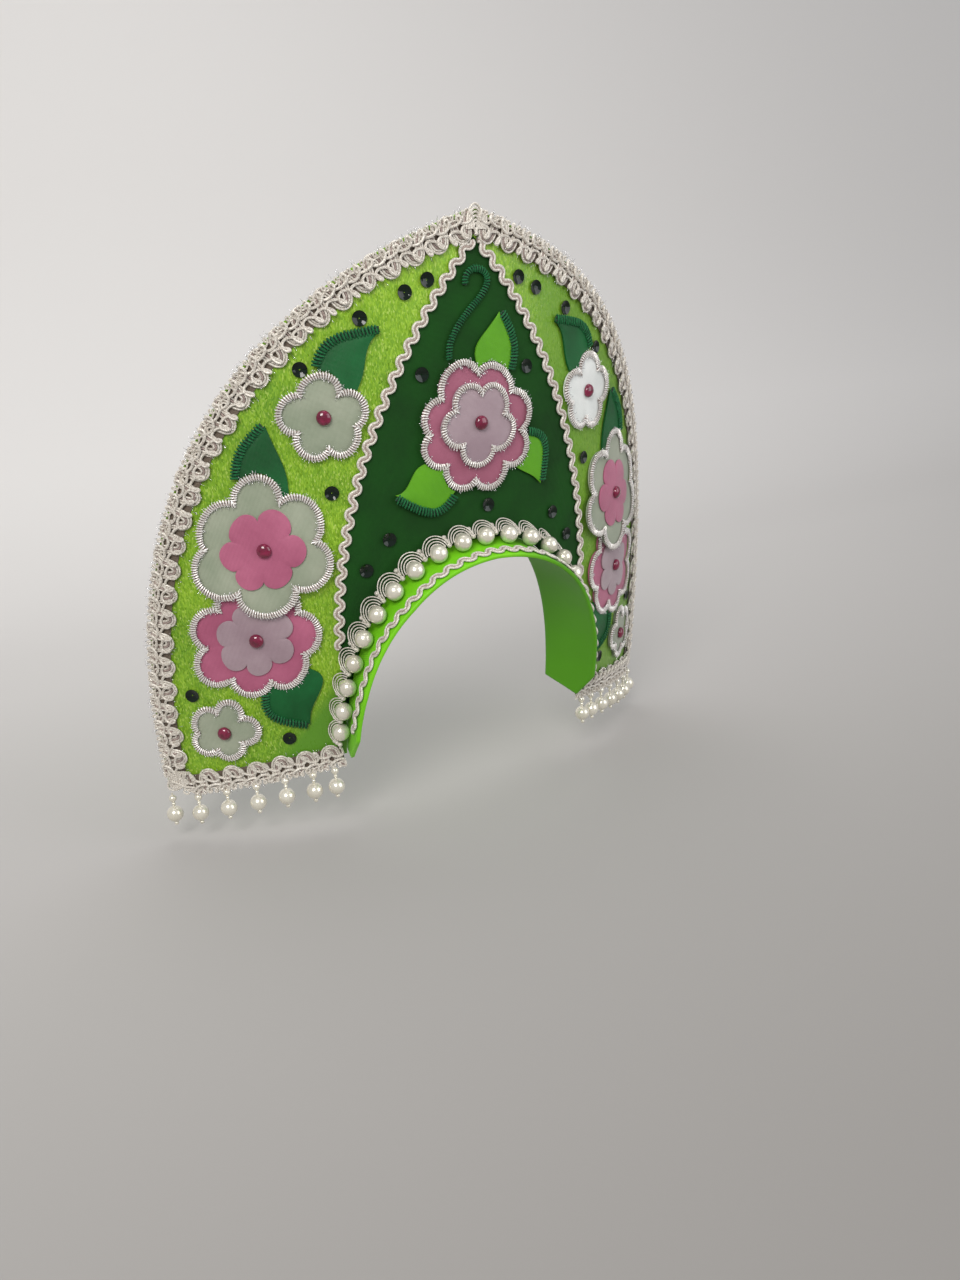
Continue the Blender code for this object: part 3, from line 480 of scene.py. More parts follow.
def sheet(name, rows, facing, wall=0.0, forward=True, merge=False):
    lines = len(rows) - 1
    columns = len(rows[0]) - 1
    bpy.ops.object.select_all(action="DESELECT")
    bpy.ops.mesh.primitive_grid_add(x_subdivisions=columns, y_subdivisions=lines, size=2.0)
    item = bpy.context.object
    item.name = name
    verts = item.data.vertices
    for vert in verts:
        column = round((vert.co.x + 1.0) / 2.0 * columns)
        line = round((vert.co.y + 1.0) / 2.0 * lines)
        vert.co = rows[line][column]
    item.data.update()
    total = sum(face.normal.dot(facing) * face.area for face in item.data.polygons)
    bpy.ops.object.mode_set(mode="EDIT")
    bpy.ops.mesh.select_all(action="SELECT")
    if merge:
        bpy.ops.mesh.remove_doubles(threshold=0.00001)
    if total < 0.0:
        bpy.ops.mesh.flip_normals()
    bpy.ops.object.mode_set(mode="OBJECT")
    if wall:
        thick = item.modifiers.new("wall", "SOLIDIFY")
        thick.thickness = wall
        thick.offset = 1.0 if forward else -1.0
        bpy.ops.object.modifier_apply(modifier=thick.name)
    return item


def tubes(name, lines, radius, sides=6, closed=False):
    """Round cords through lists of points, all in one piece."""
    curve = bpy.data.curves.new(name, "CURVE")
    curve.dimensions = "3D"
    curve.bevel_depth = radius
    curve.bevel_resolution = max((sides - 4) // 2, 0)
    curve.use_fill_caps = True
    for points in lines:
        spline = curve.splines.new("POLY")
        spline.points.add(len(points) - 1)
        flat = [value for p in points for value in (p[0], p[1], p[2], 1.0)]
        spline.points.foreach_set("co", flat)
        spline.use_cyclic_u = closed
    item = bpy.data.objects.new(name, curve)
    bpy.context.scene.collection.objects.link(item)
    make_active(item)
    bpy.ops.object.convert(target="MESH")
    item = bpy.context.object
    item.name = name
    bpy.ops.object.mode_set(mode="EDIT")
    bpy.ops.mesh.select_all(action="SELECT")
    bpy.ops.mesh.remove_doubles(threshold=0.000005)
    bpy.ops.mesh.normals_make_consistent(inside=False)
    bpy.ops.object.mode_set(mode="OBJECT")
    return item


class Track:
    """A path with a sideways and an upward direction at each length along it."""

    def __init__(self, points, ups, closed=False):
        p = np.array([tuple(v) for v in points])
        u = np.array([tuple(v) for v in ups])
        if closed:
            p = np.vstack([p, p[:1]])
            u = np.vstack([u, u[:1]])
        self.closed = closed
        self.s = np.concatenate([[0.0], np.cumsum(np.linalg.norm(p[1:] - p[:-1], axis=1))])
        self.length = float(self.s[-1])
        t = np.gradient(p, self.s, axis=0)
        if closed:
            t[0] = t[-1] = t[0] + t[-1]
        side = np.cross(u, t)
        side /= np.linalg.norm(side, axis=1)[:, None]
        self.p, self.u, self.side = p, u, side

    def read(self, s):
        s = s % self.length if self.closed else min(max(s, 0.0), self.length)
        tables = (self.p, self.side, self.u)
        return [np.array([np.interp(s, self.s, table[:, k]) for k in range(3)]) for table in tables]

    def place(self, s, aside, rise):
        p, side, u = self.read(s)
        return tuple(p + side * aside + u * rise)

    def strand(self, period, points, shape, offset=0.0):
        """Points of one cord: shape gives its step along, aside and up for an angle.
        With an offset the cord runs beside that line, at its left or right."""
        count = max(round(self.length / period), 1)
        total = count * points
        step = self.length / total
        turn = 2.0 * math.pi / points
        out = []
        for i in range(total if self.closed else total + 1):
            along, aside, rise = shape(turn * i)
            if offset:
                before, after = shape(turn * (i - 0.1)), shape(turn * (i + 0.1))
                du = after[0] - before[0] + 0.2 * step
                dv = after[1] - before[1]
                size = math.hypot(du, dv)
                along -= dv / size * offset
                aside += du / size * offset
            out.append(self.place(step * i + along, aside, rise))
        return out

    def coil(self, pitch, points, half, height, base=0.0, wild=0.0):
        """A flattened coil that lies on the surface along the path."""
        count = max(round(self.length / pitch), 1)
        out = []
        for i in range(count * points):
            angle = 2.0 * math.pi * i / points
            wide = half * (1.0 + random.uniform(-wild, wild))
            out.append(self.place(self.length * i / (count * points), wide * math.cos(angle),
                                  base + height * (1.0 + math.sin(angle))))
        return out

    def line(self, spacing, aside, rise):
        count = max(int(self.length / spacing), 4)
        last = count if self.closed else count + 1
        return [self.place(self.length * i / count, aside, rise) for i in range(last)]


def shield_track(places, side, lift=0.0):
    points = [on_shield(x * side, z, lift) for x, z in places]
    return Track(points, [normal_at(x * side, z) for x, z in places])


print("piece helpers ready")

# %% [markdown]
# The three panels are stiff board with cloth stretched over it. The solids have the
# same edges, but with few facets, so finer sheets stand for them here. A slight
# ripple in the cloth keeps the surface from looking machined.

# %% Panels


def ripple(x, z):
    return 0.00012 * math.sin(x * 95.0 + 1.3 * math.sin(z * 60.0)) * math.sin(z * 80.0 + 2.0)


def side_rows(side):
    rows = []
    count = 110
    for i in range(count + 1):
        share = i / count
        split = 16.0 / 19.0
        if share <= split:
            inner = seam_beside(share / split, 0.0002)
        else:
            inner = arch_edge(mix(CROSSING, 1.0, (share - split) / (1.0 - split)))
        outer = outline(share)
        row = []
        for j in range(33):
            x = mix(inner[0], outer[0], j / 32.0) if i else 0.0002
            z = mix(inner[1], outer[1], j / 32.0)
            row.append(on_shield(x * side, z, ripple(x, z)))
        rows.append(row)
    return rows


def centre_rows():
    rows = []
    for i in range(-60, 61):
        share = min(abs(i) / 60.0, 0.978)
        sign = -1.0 if i < 0 else 1.0
        inner = arch_edge(CROSSING * share)
        outer = seam_beside(share, -0.0002)
        if i == 0:
            outer = (0.0, outer[1])
        rows.append([on_shield(sign * mix(inner[0], outer[0], j / 40.0), mix(inner[1], outer[1], j / 40.0),
                               ripple(inner[0], j / 40.0)) for j in range(41)])
    return rows


FRONT = Vector((0.0, -1.0, 0.0))
for side, word in ((-1, "left"), (1, "right")):
    panel = sheet(word + "_brocade", side_rows(side), FRONT, BOARD, False)
    finish_piece(panel, LIME_BROCADE)
    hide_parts(word + "_panel")
centre = sheet("centre_cloth", centre_rows(), FRONT, BOARD, False)
finish_piece(centre, DARK_SATIN)
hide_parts("centre_panel")
print("panel faces:", len(panel.data.polygons), len(centre.data.polygons))

# %% [markdown]
# The back of such a shield is covered too, usually in plain lining cloth. The faces
# that look backward are picked by their normal and given the lining as a second
# material, so the front keeps its own finish.

# %% Lining on the back


def line_back(item, material):
    item.data.materials.append(material)
    for face in item.data.polygons:
        if face.normal.y > 0.2:
            face.material_index = 1


for name in ("left_brocade", "right_brocade", "centre_cloth"):
    line_back(bpy.data.objects[name], BACKING)
print("lined panels: 3")

# %% [markdown]
# The hoop is a soft band that runs forward and down from the arch and flares at the
# sides. Each of its lines is straight, so the sheet is read from the arch along one
# direction, and its front edge follows a short table. Its edges are rounded.

# %% Hoop
REACH = ((0.0, 0.82), (0.35, 1.0), (0.7, 0.9), (0.88, 0.75), (1.0, 0.2))
HOOP_AHEAD = 0.024
HOOP_BEHIND = 0.022
HOOP_WALL = 0.0025


def hoop_reach(share):
    return HOOP_AHEAD * float(np.interp(abs(share), [s for s, _ in REACH], [v for _, v in REACH]))


def hoop_direction(share):
    nx, _ = arch_normal(abs(share))
    return Vector((math.copysign(0.22 * nx, share), -1.0, -0.36))


def hoop_point(share, ahead):
    x, z = arch(abs(share))
    return on_shield(math.copysign(x, share), z) + hoop_direction(share) * ahead


def hoop_outward(share, ahead):
    before = hoop_point(max(share - 0.01, -1.0), ahead)
    after = hoop_point(min(share + 0.01, 1.0), ahead)
    out = (after - before).cross(hoop_direction(share)).normalized()
    x, z = arch(abs(share))
    return out if out.x * math.copysign(x, share) + out.z * (z - ARCH_FOOT) > 0.0 else -out


hoop_lines = []
for j in range(15):
    line = []
    for i in range(-90, 91):
        share = i / 90.0
        ahead = mix(-HOOP_BEHIND, hoop_reach(share), j / 14.0)
        sag = 0.00012 * math.sin(i * 0.55 + j * 0.4) * math.sin(math.pi * j / 14.0)
        line.append(hoop_point(share, ahead) + hoop_outward(share, ahead) * sag)
    hoop_lines.append(line)
hoop = sheet("hoop_cloth", hoop_lines, Vector((0, 0, 1)), HOOP_WALL, False)
soften = hoop.modifiers.new("soften", "BEVEL")
soften.width = 0.0007
soften.segments = 2
soften.angle_limit = math.radians(50.0)
bpy.ops.object.modifier_apply(modifier=soften.name)
finish_piece(hoop, LIME_SATIN)
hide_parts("hoop")
print("hoop faces:", len(hoop.data.polygons))

# %% [markdown]
# The outer edge and the foot carry a wide gimp braid. Its path comes first: it follows
# the outline at half the braid's width inside it, turns a round corner and runs along
# the foot to the pearl edging. A path like this could be drawn by hand as a curve, but
# points that are worked out from the outline follow every change of shape.

# %% Path of the outer braid
BRAID_WIDTH = 0.015
BRAID_INSET = 0.0015
CORNER_RADIUS = 0.009


def inset_outline(share, distance):
    x, z = outline(share)
    x0, z0 = outline(share - 0.004)
    x1, z1 = outline(share + 0.004)
    slope_x, slope_z = slopes(x, z)
    along = ((x1 - x0) * math.hypot(1.0, slope_x), (z1 - z0) * math.hypot(1.0, slope_z))
    size = math.hypot(along[0], along[1])
    return beside(x, z, along[1] / size * distance, -along[0] / size * distance)


def board_foot(x):
    return mix(ARCH_FOOT, OUTER_FOOT, (x - ARCH_HALF_WIDTH) / (0.178 - ARCH_HALF_WIDTH))


def braid_path():
    middle = BRAID_INSET + BRAID_WIDTH / 2.0
    fine = [inset_outline(i / 500.0, middle) for i in range(501)]
    side = [p for p in fine if p[1] > -0.1175 and p[0] > 0.0006]
    x, z = side[-1]
    radius_x = CORNER_RADIUS / math.hypot(1.0, slopes(x, z)[0])
    corner = []
    for i in range(1, 9):
        angle = math.pi / 2.0 * i / 8.0
        cx = x - radius_x * (1.0 - math.cos(angle))
        slant = (board_foot(cx) - board_foot(x)) * i / 8.0
        corner.append((cx, z - CORNER_RADIUS * math.sin(angle) + slant))
    fx, fz = corner[-1]
    foot = [mix(fx, 0.0875, i / 40.0) for i in range(1, 41)]
    return side + corner + [(v, fz + board_foot(v) - board_foot(fx)) for v in foot]


PATH = braid_path()
print("outer braid path points:", len(PATH))

# %% [markdown]
# A bundle of four cords swings from edge to edge of the gimp in round bends, so the
# cords lie beside one another like the lines of a shell. Two more cords curl over it,
# one in each half, and small loops stand out at the outer edge. A dark strip under the
# cords is painted shadow that closes the gaps, and short foil hairs make the edge
# sparkle. Each cord is one formula for its steps along, aside and up, which is shorter
# than drawing every loop.

# %% Outer braid
GIMP_PERIOD = 0.0150
SHIFT = 0.0021


def gimp_shapes(way):
    """Four cord shapes for a track whose outer edge lies on the side that way gives."""

    def bend(angle):
        rise = SEAT + 0.0011 + 0.0004 * math.sin(angle)
        swing = 0.0057 + 0.0004 * math.sin(0.37 * angle) + 0.0003 * math.sin(1.31 * angle)
        return 0.0009 * math.sin(2.0 * angle), way * (SHIFT + swing * math.cos(angle)), rise

    def outer_curl(angle):
        rise = SEAT + 0.0023 + 0.0006 * math.sin(angle)
        swing = 0.0024 + 0.0006 * math.sin(0.43 * angle + 1.0)
        return -0.0027 * math.sin(angle), way * (SHIFT + (0.0042 + swing * math.cos(angle))), rise

    def inner_curl(angle):
        rise = SEAT + 0.0023 + 0.0006 * math.cos(angle)
        swing = 0.0030 + 0.0006 * math.sin(0.61 * angle)
        aside = SHIFT - (0.0030 + swing * math.cos(angle))
        return -0.0027 * math.sin(angle + 0.5), way * aside, rise

    def picot(angle):
        rise = SEAT + 0.0016 + 0.0004 * math.cos(angle)
        return -0.0016 * math.sin(angle), way * (SHIFT + (0.0060 + 0.0016 * math.cos(angle))), rise

    return bend, outer_curl, inner_curl, picot


def tinsel_hairs(name, track, count, edges, spread, reach, base):
    hairs = []
    for _ in range(count):
        p, aside, rise = track.read(random.uniform(0.0, track.length))
        edge = random.choice(edges)
        lean = aside * math.copysign(random.uniform(0.3, 1.0) * reach, edge)
        lean = lean + rise * random.uniform(-0.2, 0.8) * reach
        start = p + aside * (edge + random.uniform(-spread, spread)) + rise * base
        bent = start + lean * 0.6 + rise * 0.0003
        hairs.append([tuple(start), tuple(bent), tuple(start + lean)])
    tinsel = tubes(name, hairs, 0.00014, 4)
    finish_piece(tinsel, FOIL, False)
    return tinsel


def silver_cords(name, cords, radius, sides=6, material=SILVER):
    return finish_piece(tubes(name, cords, radius, sides), material)


for side, word in ((-1, "left"), (1, "right")):
    track = shield_track(PATH, side)
    way = 1.0 if track.read(0.05)[1][0] * side > 0.0 else -1.0
    bend, outer_curl, inner_curl, picot = gimp_shapes(way)
    bundle = [track.strand(GIMP_PERIOD, 28, bend, d) for d in (-0.0019, 0.0006, 0.0019)]
    braid = silver_cords(word + "_gimp", bundle, 0.00062)
    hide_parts(word + "_outer_braid")
    inner = [track.strand(GIMP_PERIOD, 28, bend, -0.0007)]
    silver_cords(word + "_gimp_inner", inner, 0.00055, 6, MAUVE)
    curls = [track.strand(GIMP_PERIOD / 2.0, 20, shape) for shape in (outer_curl, inner_curl)]
    silver_cords(word + "_gimp_curl", curls, 0.0008)
    silver_cords(word + "_gimp_picot", [track.strand(GIMP_PERIOD / 4.0, 12, picot)], 0.0006)
    # A dark strip under the cords: painted shadow in the gaps between them.
    ground = [track.line(0.004, w + way * SHIFT, SEAT) for w in (-0.0052, 0.0052)]
    strip = sheet(word + "_gimp_shadow_strip", [[Vector(p) for p in row] for row in ground], FRONT, 0.0003)
    finish_piece(strip, SHADOW_CLOTH)
    edge = way * (0.0066 + SHIFT)
    inner_edge = way * (SHIFT - 0.0062)
    tinsel_hairs(word + "_tinsel", track, 700, (edge, edge, edge, inner_edge), 0.0016, 0.0026, 0.0016)


def tip_loops(name, x, z, way_x, way_z, side):
    """Nested loops that stand out at a corner of the braid."""
    loops = []
    for reach in (0.0018, 0.0030, 0.0043, 0.0056, 0.0069, 0.0082):
        loop = []
        for i in range(25):
            angle = math.pi * i / 24.0
            across, out = reach * 0.66 * math.cos(angle), reach * 1.5 * math.sin(angle)
            spot_x, spot_z = beside(x, z, way_x * out - way_z * across, way_z * out + way_x * across)
            loop.append(on_shield(spot_x * side, spot_z, SEAT + 0.0022))
        loops.append(loop)
    silver_cords(name, loops, 0.00066)


tip_loops("gimp_tip", 0.0, 0.1705, 0.0, 1.0, 1)
tip_loops("left_gimp_corner", 0.1700, -0.1215, 0.72, -0.69, -1)
tip_loops("right_gimp_corner", 0.1700, -0.1215, 0.72, -0.69, 1)
print("outer side sign:", way, "gimp faces:", len(braid.data.polygons))

# %% [markdown]
# A narrower braid covers the two seams and another goes round the hoop's front edge.
# It is a wavy ribbon of three cords: two pale ones follow the wave on either side of
# a darker one, and all three lie side by side.

# %% Narrow braids
WAVE_LENGTH = 0.0095


def wave(angle):
    return -0.0003 * math.sin(2.0 * angle), 0.0016 * math.sin(angle), SEAT + 0.0008


def narrow_braid(name, track, replaced):
    cords = [track.strand(WAVE_LENGTH, 20, wave, d) for d in (-0.0011, 0.0011)]
    braid = silver_cords(name, cords, 0.00078, 8)
    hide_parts(replaced)
    silver_cords(name + "_middle", [track.strand(WAVE_LENGTH, 20, wave)], 0.00066, 8, PALE_MAUVE)


def edging(name, track, material, core_material, half=0.0017, pitch=0.0014, radius=0.00040):
    """A soft tube of looped thread round a core, with short hairs."""
    coil = tubes(name, [track.coil(pitch, 8, half, 0.0007, 0.0002, 0.1)], radius, 4, track.closed)
    finish_piece(coil, material)
    lines = [track.line(0.0016, w, 0.0006) for w in (-half * 0.4, half * 0.4)]
    core = tubes(name + "_core", lines, 0.0006, 6, track.closed)
    finish_piece(core, core_material)
    if material is SPARKLE:
        hairs = int(track.length / 0.0011)
        tinsel_hairs(name + "_hairs", track, hairs, (-half, half), 0.0004, 0.0017, 0.0009)
    return coil


for side, word in ((-1, "left"), (1, "right")):
    places = [seam(mix(0.008, 0.865, i / 150.0)) for i in range(151)]
    narrow_braid(word + "_seam_cord", shield_track(places, side), word + "_seam_braid")

hoop_places = []
hoop_ups = []
for i in range(-86, 87):
    share = i / 100.0
    ahead = hoop_reach(share) - 0.0038
    hoop_ups.append(hoop_outward(share, ahead))
    hoop_places.append(hoop_point(share, ahead))
hoop_track = Track(hoop_places, hoop_ups)
narrow_braid("hoop_cord", hoop_track, "hoop_braid")
print("hoop braid length, mm:", round(hoop_track.length * 1000))

# %% [markdown]
# Petals are cut from satin and stuck down, with a braid round the edge of each
# flower. An outline goes from notch to tip and back in each petal. The cloth is
# crowned a little, so light runs over it, and it dips at the notches.

# %% Flower tables
# Place as shares of half width and height, radius, then each petal's tip angle, reach,
# notch angle and notch depth.
FLOWERS = {
    "small_top": (0.483, 0.447, 0.025, (
        (11, 1.01, 47, 0.74), (87, 0.96, 128, 0.62), (171, 0.99, 200, 0.78), (239, 1.0, 264, 0.72),
        (291, 0.96, 334, 0.68),
    )),
    "big": (0.667, 0.075, 0.04, (
        (-24, 1.03, 5, 0.82), (37, 0.96, 62, 0.78), (87, 1.05, 112, 0.71), (142, 0.95, 176, 0.73),
        (203, 1.0, 236, 0.72), (271, 0.98, 304, 0.73),
    )),
    "low": (0.709, -0.211, 0.038, (
        (20, 0.99, 45, 0.75), (66, 0.96, 92, 0.75), (120, 0.96, 150, 0.77), (178, 1.0, 203, 0.8),
        (236, 0.97, 257, 0.75), (281, 0.95, 304, 0.76), (326, 1.06, 354, 0.79),
    )),
    "small_low": (0.819, -0.523, 0.0215, (
        (48, 1.02, 75, 0.7), (102, 1.04, 140, 0.69), (178, 1.05, 214, 0.64), (258, 0.88, 294, 0.62),
        (335, 0.97, 4, 0.8),
    )),
    "centre": (0.0, 0.389, 0.038, (
        (8, 0.98, 35, 0.74), (68, 0.9, 91, 0.74), (112, 0.98, 148, 0.76), (171, 0.96, 188, 0.87),
        (205, 1.04, 226, 0.85), (246, 1.06, 264, 0.9), (283, 1.06, 304, 0.83), (325, 1.05, 346, 0.82),
    )),
}
# Radius, then the petals as above.
HEARTS = {
    "big": (0.0232, (
        (-4, 1.02, 20, 0.76), (59, 0.98, 82, 0.7), (109, 0.98, 153, 0.66), (188, 0.99, 218, 0.74),
        (251, 0.98, 275, 0.76), (299, 1.02, 326, 0.79),
    )),
    "low": (0.0225, (
        (22, 1.0, 46, 0.74), (68, 0.97, 112, 0.7), (157, 0.99, 181, 0.7), (211, 1.0, 241, 0.67),
        (271, 0.97, 294, 0.71), (318, 1.03, 352, 0.8),
    )),
    "centre": (0.0245, (
        (-18, 1.01, 12, 0.7), (59, 0.97, 86, 0.69), (118, 0.97, 154, 0.74), (188, 1.02, 225, 0.7),
        (261, 1.03, 298, 0.73),
    )),
}


def petal_outline(petals, radius, steps=14):
    points = []
    for i, (tip, reach, notch, depth) in enumerate(petals):
        before, shallow = petals[i - 1][2], petals[i - 1][3]
        while before > tip:
            before -= 360.0
        while notch < tip:
            notch += 360.0
        for k in range(steps):
            t = k / steps
            rise = math.sin(math.pi / 2.0 * t) ** 0.62
            points.append((mix(before, tip, t), mix(shallow, reach, rise) * radius))
        for k in range(steps):
            t = k / steps
            rise = math.cos(math.pi / 2.0 * t) ** 0.62
            points.append((mix(tip, notch, t), mix(depth, reach, rise) * radius))
    return points


def reach_at(points, angle):
    turned = sorted((a % 360.0, r) for a, r in points)
    return float(np.interp(angle % 360.0, [a for a, _ in turned], [r for _, r in turned], period=360.0))


def spot(key):
    return FLOWERS[key][0] * HALF_WIDTH, FLOWERS[key][1] * TOP_HEIGHT


def leaning(key, z):
    if key != "big":
        return 0.0
    hinge = spot("big")[1] + 0.0232
    return 0.0033 * max(hinge - z, 0.0) / (hinge - spot("low")[1] - 0.0225)


def place_on(key, angle, size):
    x0, z0 = spot(key)
    slope_x, slope_z = slopes(x0, z0)
    turn_angle = math.radians(angle)
    return x0 + size * math.cos(turn_angle) / math.hypot(1.0, slope_x), \
        z0 + size * math.sin(turn_angle) / math.hypot(1.0, slope_z)


print("flowers:", list(FLOWERS))

# %% [markdown]
# A flower's cloth is a sheet of rings from the middle to the outline, crowned a little
# and dipped at its rim. The same helper makes the hearts, which are smaller and lie
# higher. The braid round each flower is a flat coil of thread along a closed track.

# %% Petals and hearts


def plaque(name, key, points, lift, wall, side, inset):
    rows = []
    rings = 12
    for ring in range(rings + 1):
        share = ring / rings
        row = []
        for angle, reach in points + points[:1]:
            x, z = place_on(key, angle, max(reach - inset, 0.0) * share)
            crown = wall * 0.5 * (1.0 - share ** 6) - 0.00025 * share * math.cos(math.radians(angle) * 3.0)
            row.append(on_shield(x * side, z, lift + leaning(key, z) + wall * 0.4 + crown))
        rows.append(row)
    return sheet(name, rows, FRONT, wall * 0.55, False, True)


def ring_track(key, points, inset, lift, side):
    places = []
    ups = []
    for angle, reach in points:
        x, z = place_on(key, angle, reach - inset)
        places.append(on_shield(x * side, z, lift + leaning(key, z)))
        ups.append(normal_at(x * side, z))
    return Track(places, ups, True)


CLOTH_OF = {"small_top": GREY_SATIN, "big": GREY_SATIN, "low": PINK_SATIN, "small_low": GREY_SATIN,
            "centre": ROSE_SATIN}


def sides_of(key):
    return ((1, ""),) if key == "centre" else ((-1, "left_"), (1, "right_"))


for key, (_, _, radius, petals) in FLOWERS.items():
    points = petal_outline(petals, radius)
    for side, word in sides_of(key):
        material = WHITE_SATIN if key == "small_top" and side > 0 else CLOTH_OF[key]
        flower = plaque(word + key + "_petals", key, points, SEAT, 0.0015, side, 0.0010)
        finish_piece(flower, material)
        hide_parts(word + key + "_flower")
        rim = ring_track(key, points, 0.0021, SEAT + 0.0012, side)
        edging(word + key + "_edging", rim, SPARKLE, MAUVE)
for key, (radius, petals) in HEARTS.items():
    points = petal_outline(petals, radius)
    for side, word in sides_of(key):
        material = PINK_SATIN if key == "big" else LILAC_SATIN
        heart = plaque(word + key + "_heart_cloth", key, points, 0.0023, 0.0012, side, 0.0)
        finish_piece(heart, material)
        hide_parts(word + key + "_heart")
    if key == "centre":
        rim = ring_track(key, points, 0.0016, 0.0030, 1)
        edging("centre_heart_edging", rim, SPARKLE, MAUVE, 0.0014)
print("petal faces:", len(flower.data.polygons))

# %% [markdown]
# Each flower has a domed stone in the middle, set on the cloth. A half dome is spun
# once from a short profile, and copied to each flower. The sequins are cupped discs
# with a hole in the middle, which is how they are sewn on.

# %% Stones and sequins


def spun(name, profile, steps):
    """A round piece about the local Z axis, from (radius, height) pairs."""
    bpy.ops.object.select_all(action="DESELECT")
    bpy.ops.mesh.primitive_plane_add(size=0.001)
    item = bpy.context.object
    item.name = name
    bpy.ops.object.mode_set(mode="EDIT")
    bpy.ops.mesh.delete(type="VERT")
    bpy.ops.object.mode_set(mode="OBJECT")
    item.data.vertices.add(len(profile))
    item.data.edges.add(len(profile) - 1)
    for i, (radius, height) in enumerate(profile):
        item.data.vertices[i].co = (radius, 0.0, height)
    for i in range(len(profile) - 1):
        item.data.edges[i].vertices = (i, i + 1)
    bpy.ops.object.mode_set(mode="EDIT")
    bpy.ops.mesh.select_all(action="SELECT")
    bpy.ops.mesh.spin(steps=steps, angle=2.0 * math.pi, center=(0, 0, 0), axis=(0, 0, 1))
    bpy.ops.mesh.select_all(action="SELECT")
    bpy.ops.mesh.remove_doubles(threshold=0.00001)
    bpy.ops.mesh.normals_make_consistent(inside=False)
    bpy.ops.object.mode_set(mode="OBJECT")
    return item


def copy_to(source, name, place, normal):
    item = source.copy()
    item.data = source.data.copy()
    item.name = name
    bpy.context.scene.collection.objects.link(item)
    matrix = normal.to_track_quat("Z", "Y").to_matrix().to_4x4()
    matrix.translation = place
    item.data.transform(matrix)
    return item


STONE_RADIUS = 0.004
dome = [(0.0, 0.003)]
for angle in range(12, 91, 13):
    turned = math.radians(angle)
    dome.append((STONE_RADIUS * math.sin(turned), 0.0008 + 0.0022 * math.cos(turned)))
dome += [(0.00405, 0.0004), (STONE_RADIUS, 0.0), (0.0, 0.0)]
stone = spun("stone_form", dome, 32)
for key in FLOWERS:
    x, z = spot(key)
    lift = 0.0023 + leaning(key, z) + (0.0015 if key in HEARTS else 0.0)
    for side, word in sides_of(key):
        item = copy_to(stone, word + key + "_gem", on_shield(x * side, z, lift), normal_at(x * side, z))
        finish_piece(item, STONE)
        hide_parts(word + key + "_stone")
bpy.data.objects.remove(stone)

# Places as shares of half width and height.
SIDE_SEQUINS = ((0.160, 0.808), (0.231, 0.777), (0.366, 0.714), (0.537, 0.586), (0.474, 0.224),
                (0.897, -0.388), (0.641, -0.563))
CENTRE_SEQUINS = ((0.189, 0.545), (-0.189, 0.545), (0.311, 0.061), (-0.311, 0.061), (0.386, -0.028),
                  (-0.386, -0.028), (0.033, 0.126))
cup = [(0.0004, 0.0002), (0.0016, 0.0002), (0.0024, 0.0006), (0.0039, 0.0012), (0.0040, 0.00105),
       (0.0025, 0.0004), (0.0016, 0.0), (0.0004, 0.0), (0.0004, 0.0002)]
sequin = spun("sequin_form", cup, 24)
places = [(side * x, z) for side in (-1, 1) for x, z in SIDE_SEQUINS] + list(CENTRE_SEQUINS)
for number, (x, z) in enumerate(places):
    x, z = x * HALF_WIDTH, z * TOP_HEIGHT
    item = copy_to(sequin, "sequin_%02d" % number, on_shield(x, z, 0.0002), normal_at(x, z))
    finish_piece(item, SEQUIN)
bpy.data.objects.remove(sequin)
print("sequins:", len(places))

# %% [markdown]
# A leaf grows out from under its flower. One side carries a chenille cord, thick and
# ribbed, and the other is plain. The sheet runs from the flower's outline to the tip,
# and the cord follows its first side as a flat coil of thread round a core painted
# dark as the shade between the loops.

# %% Leaves
# Flower, tip, then angle, bulge and twist of the cord's side and of the plain side.
LEAVES = {
    "leaf_top": ("small_top", -1.34, 1.66, 86, 0.30, 0.04, 146, -0.10, 0.06),
    "leaf_middle": ("big", -0.145, 1.66, 74.6, 0.11, 0.0, 117.7, 0.05, 0.015),
    "leaf_low": ("low", -0.716, -1.474, -96.4, 0.25, 0.0, -143.7, 0.18, 0.095),
    "leaf_centre_top": ("centre", 0.382, 1.539, 52.6, 0.137, 0.0, 89.4, 0.145, 0.039),
    "leaf_centre_left": ("centre", -1.361, -0.924, 246.3, 0.263, 0.013, 210, -0.013, 0.047),
    "leaf_centre_right": ("centre", 1.168, -1.058, -16, 0.271, 0.026, -48, -0.024, 0.011),
}


def leaf_sides(row, v):
    key, tip_x, tip_z, cord_angle, bulge, twist, plain_angle, plain_bulge, plain_twist = row
    radius, petals = FLOWERS[key][2], FLOWERS[key][3]
    points = petal_outline(petals, radius, 6)

    def base(angle):
        reach = reach_at(points, angle) + 0.0002
        return Vector((reach * math.cos(math.radians(angle)), reach * math.sin(math.radians(angle))))

    tip = Vector((tip_x * radius, tip_z * radius))
    first, second = base(cord_angle), base(plain_angle)
    along = (tip - (first + second) / 2.0).normalized()
    away = Vector((-along.y, along.x))
    if away.dot(first - second) < 0.0:
        away = -away
    swell, double = math.sin(math.pi * v), math.sin(2.0 * math.pi * v)
    cord = first.lerp(tip, v) + away * radius * (bulge * swell + twist * double)
    plain = second.lerp(tip, v) - away * radius * (plain_bulge * swell + plain_twist * double)
    shift = [base(mix(cord_angle, plain_angle, u / 10.0)) - first.lerp(second, u / 10.0) for u in range(11)]
    return cord, plain, away, [s * (1.0 - v) ** 2 for s in shift]


def local_place(key, p):
    x0, z0 = spot(key)
    slope_x, slope_z = slopes(x0, z0)
    return x0 + p.x / math.hypot(1.0, slope_x), z0 + p.y / math.hypot(1.0, slope_z)


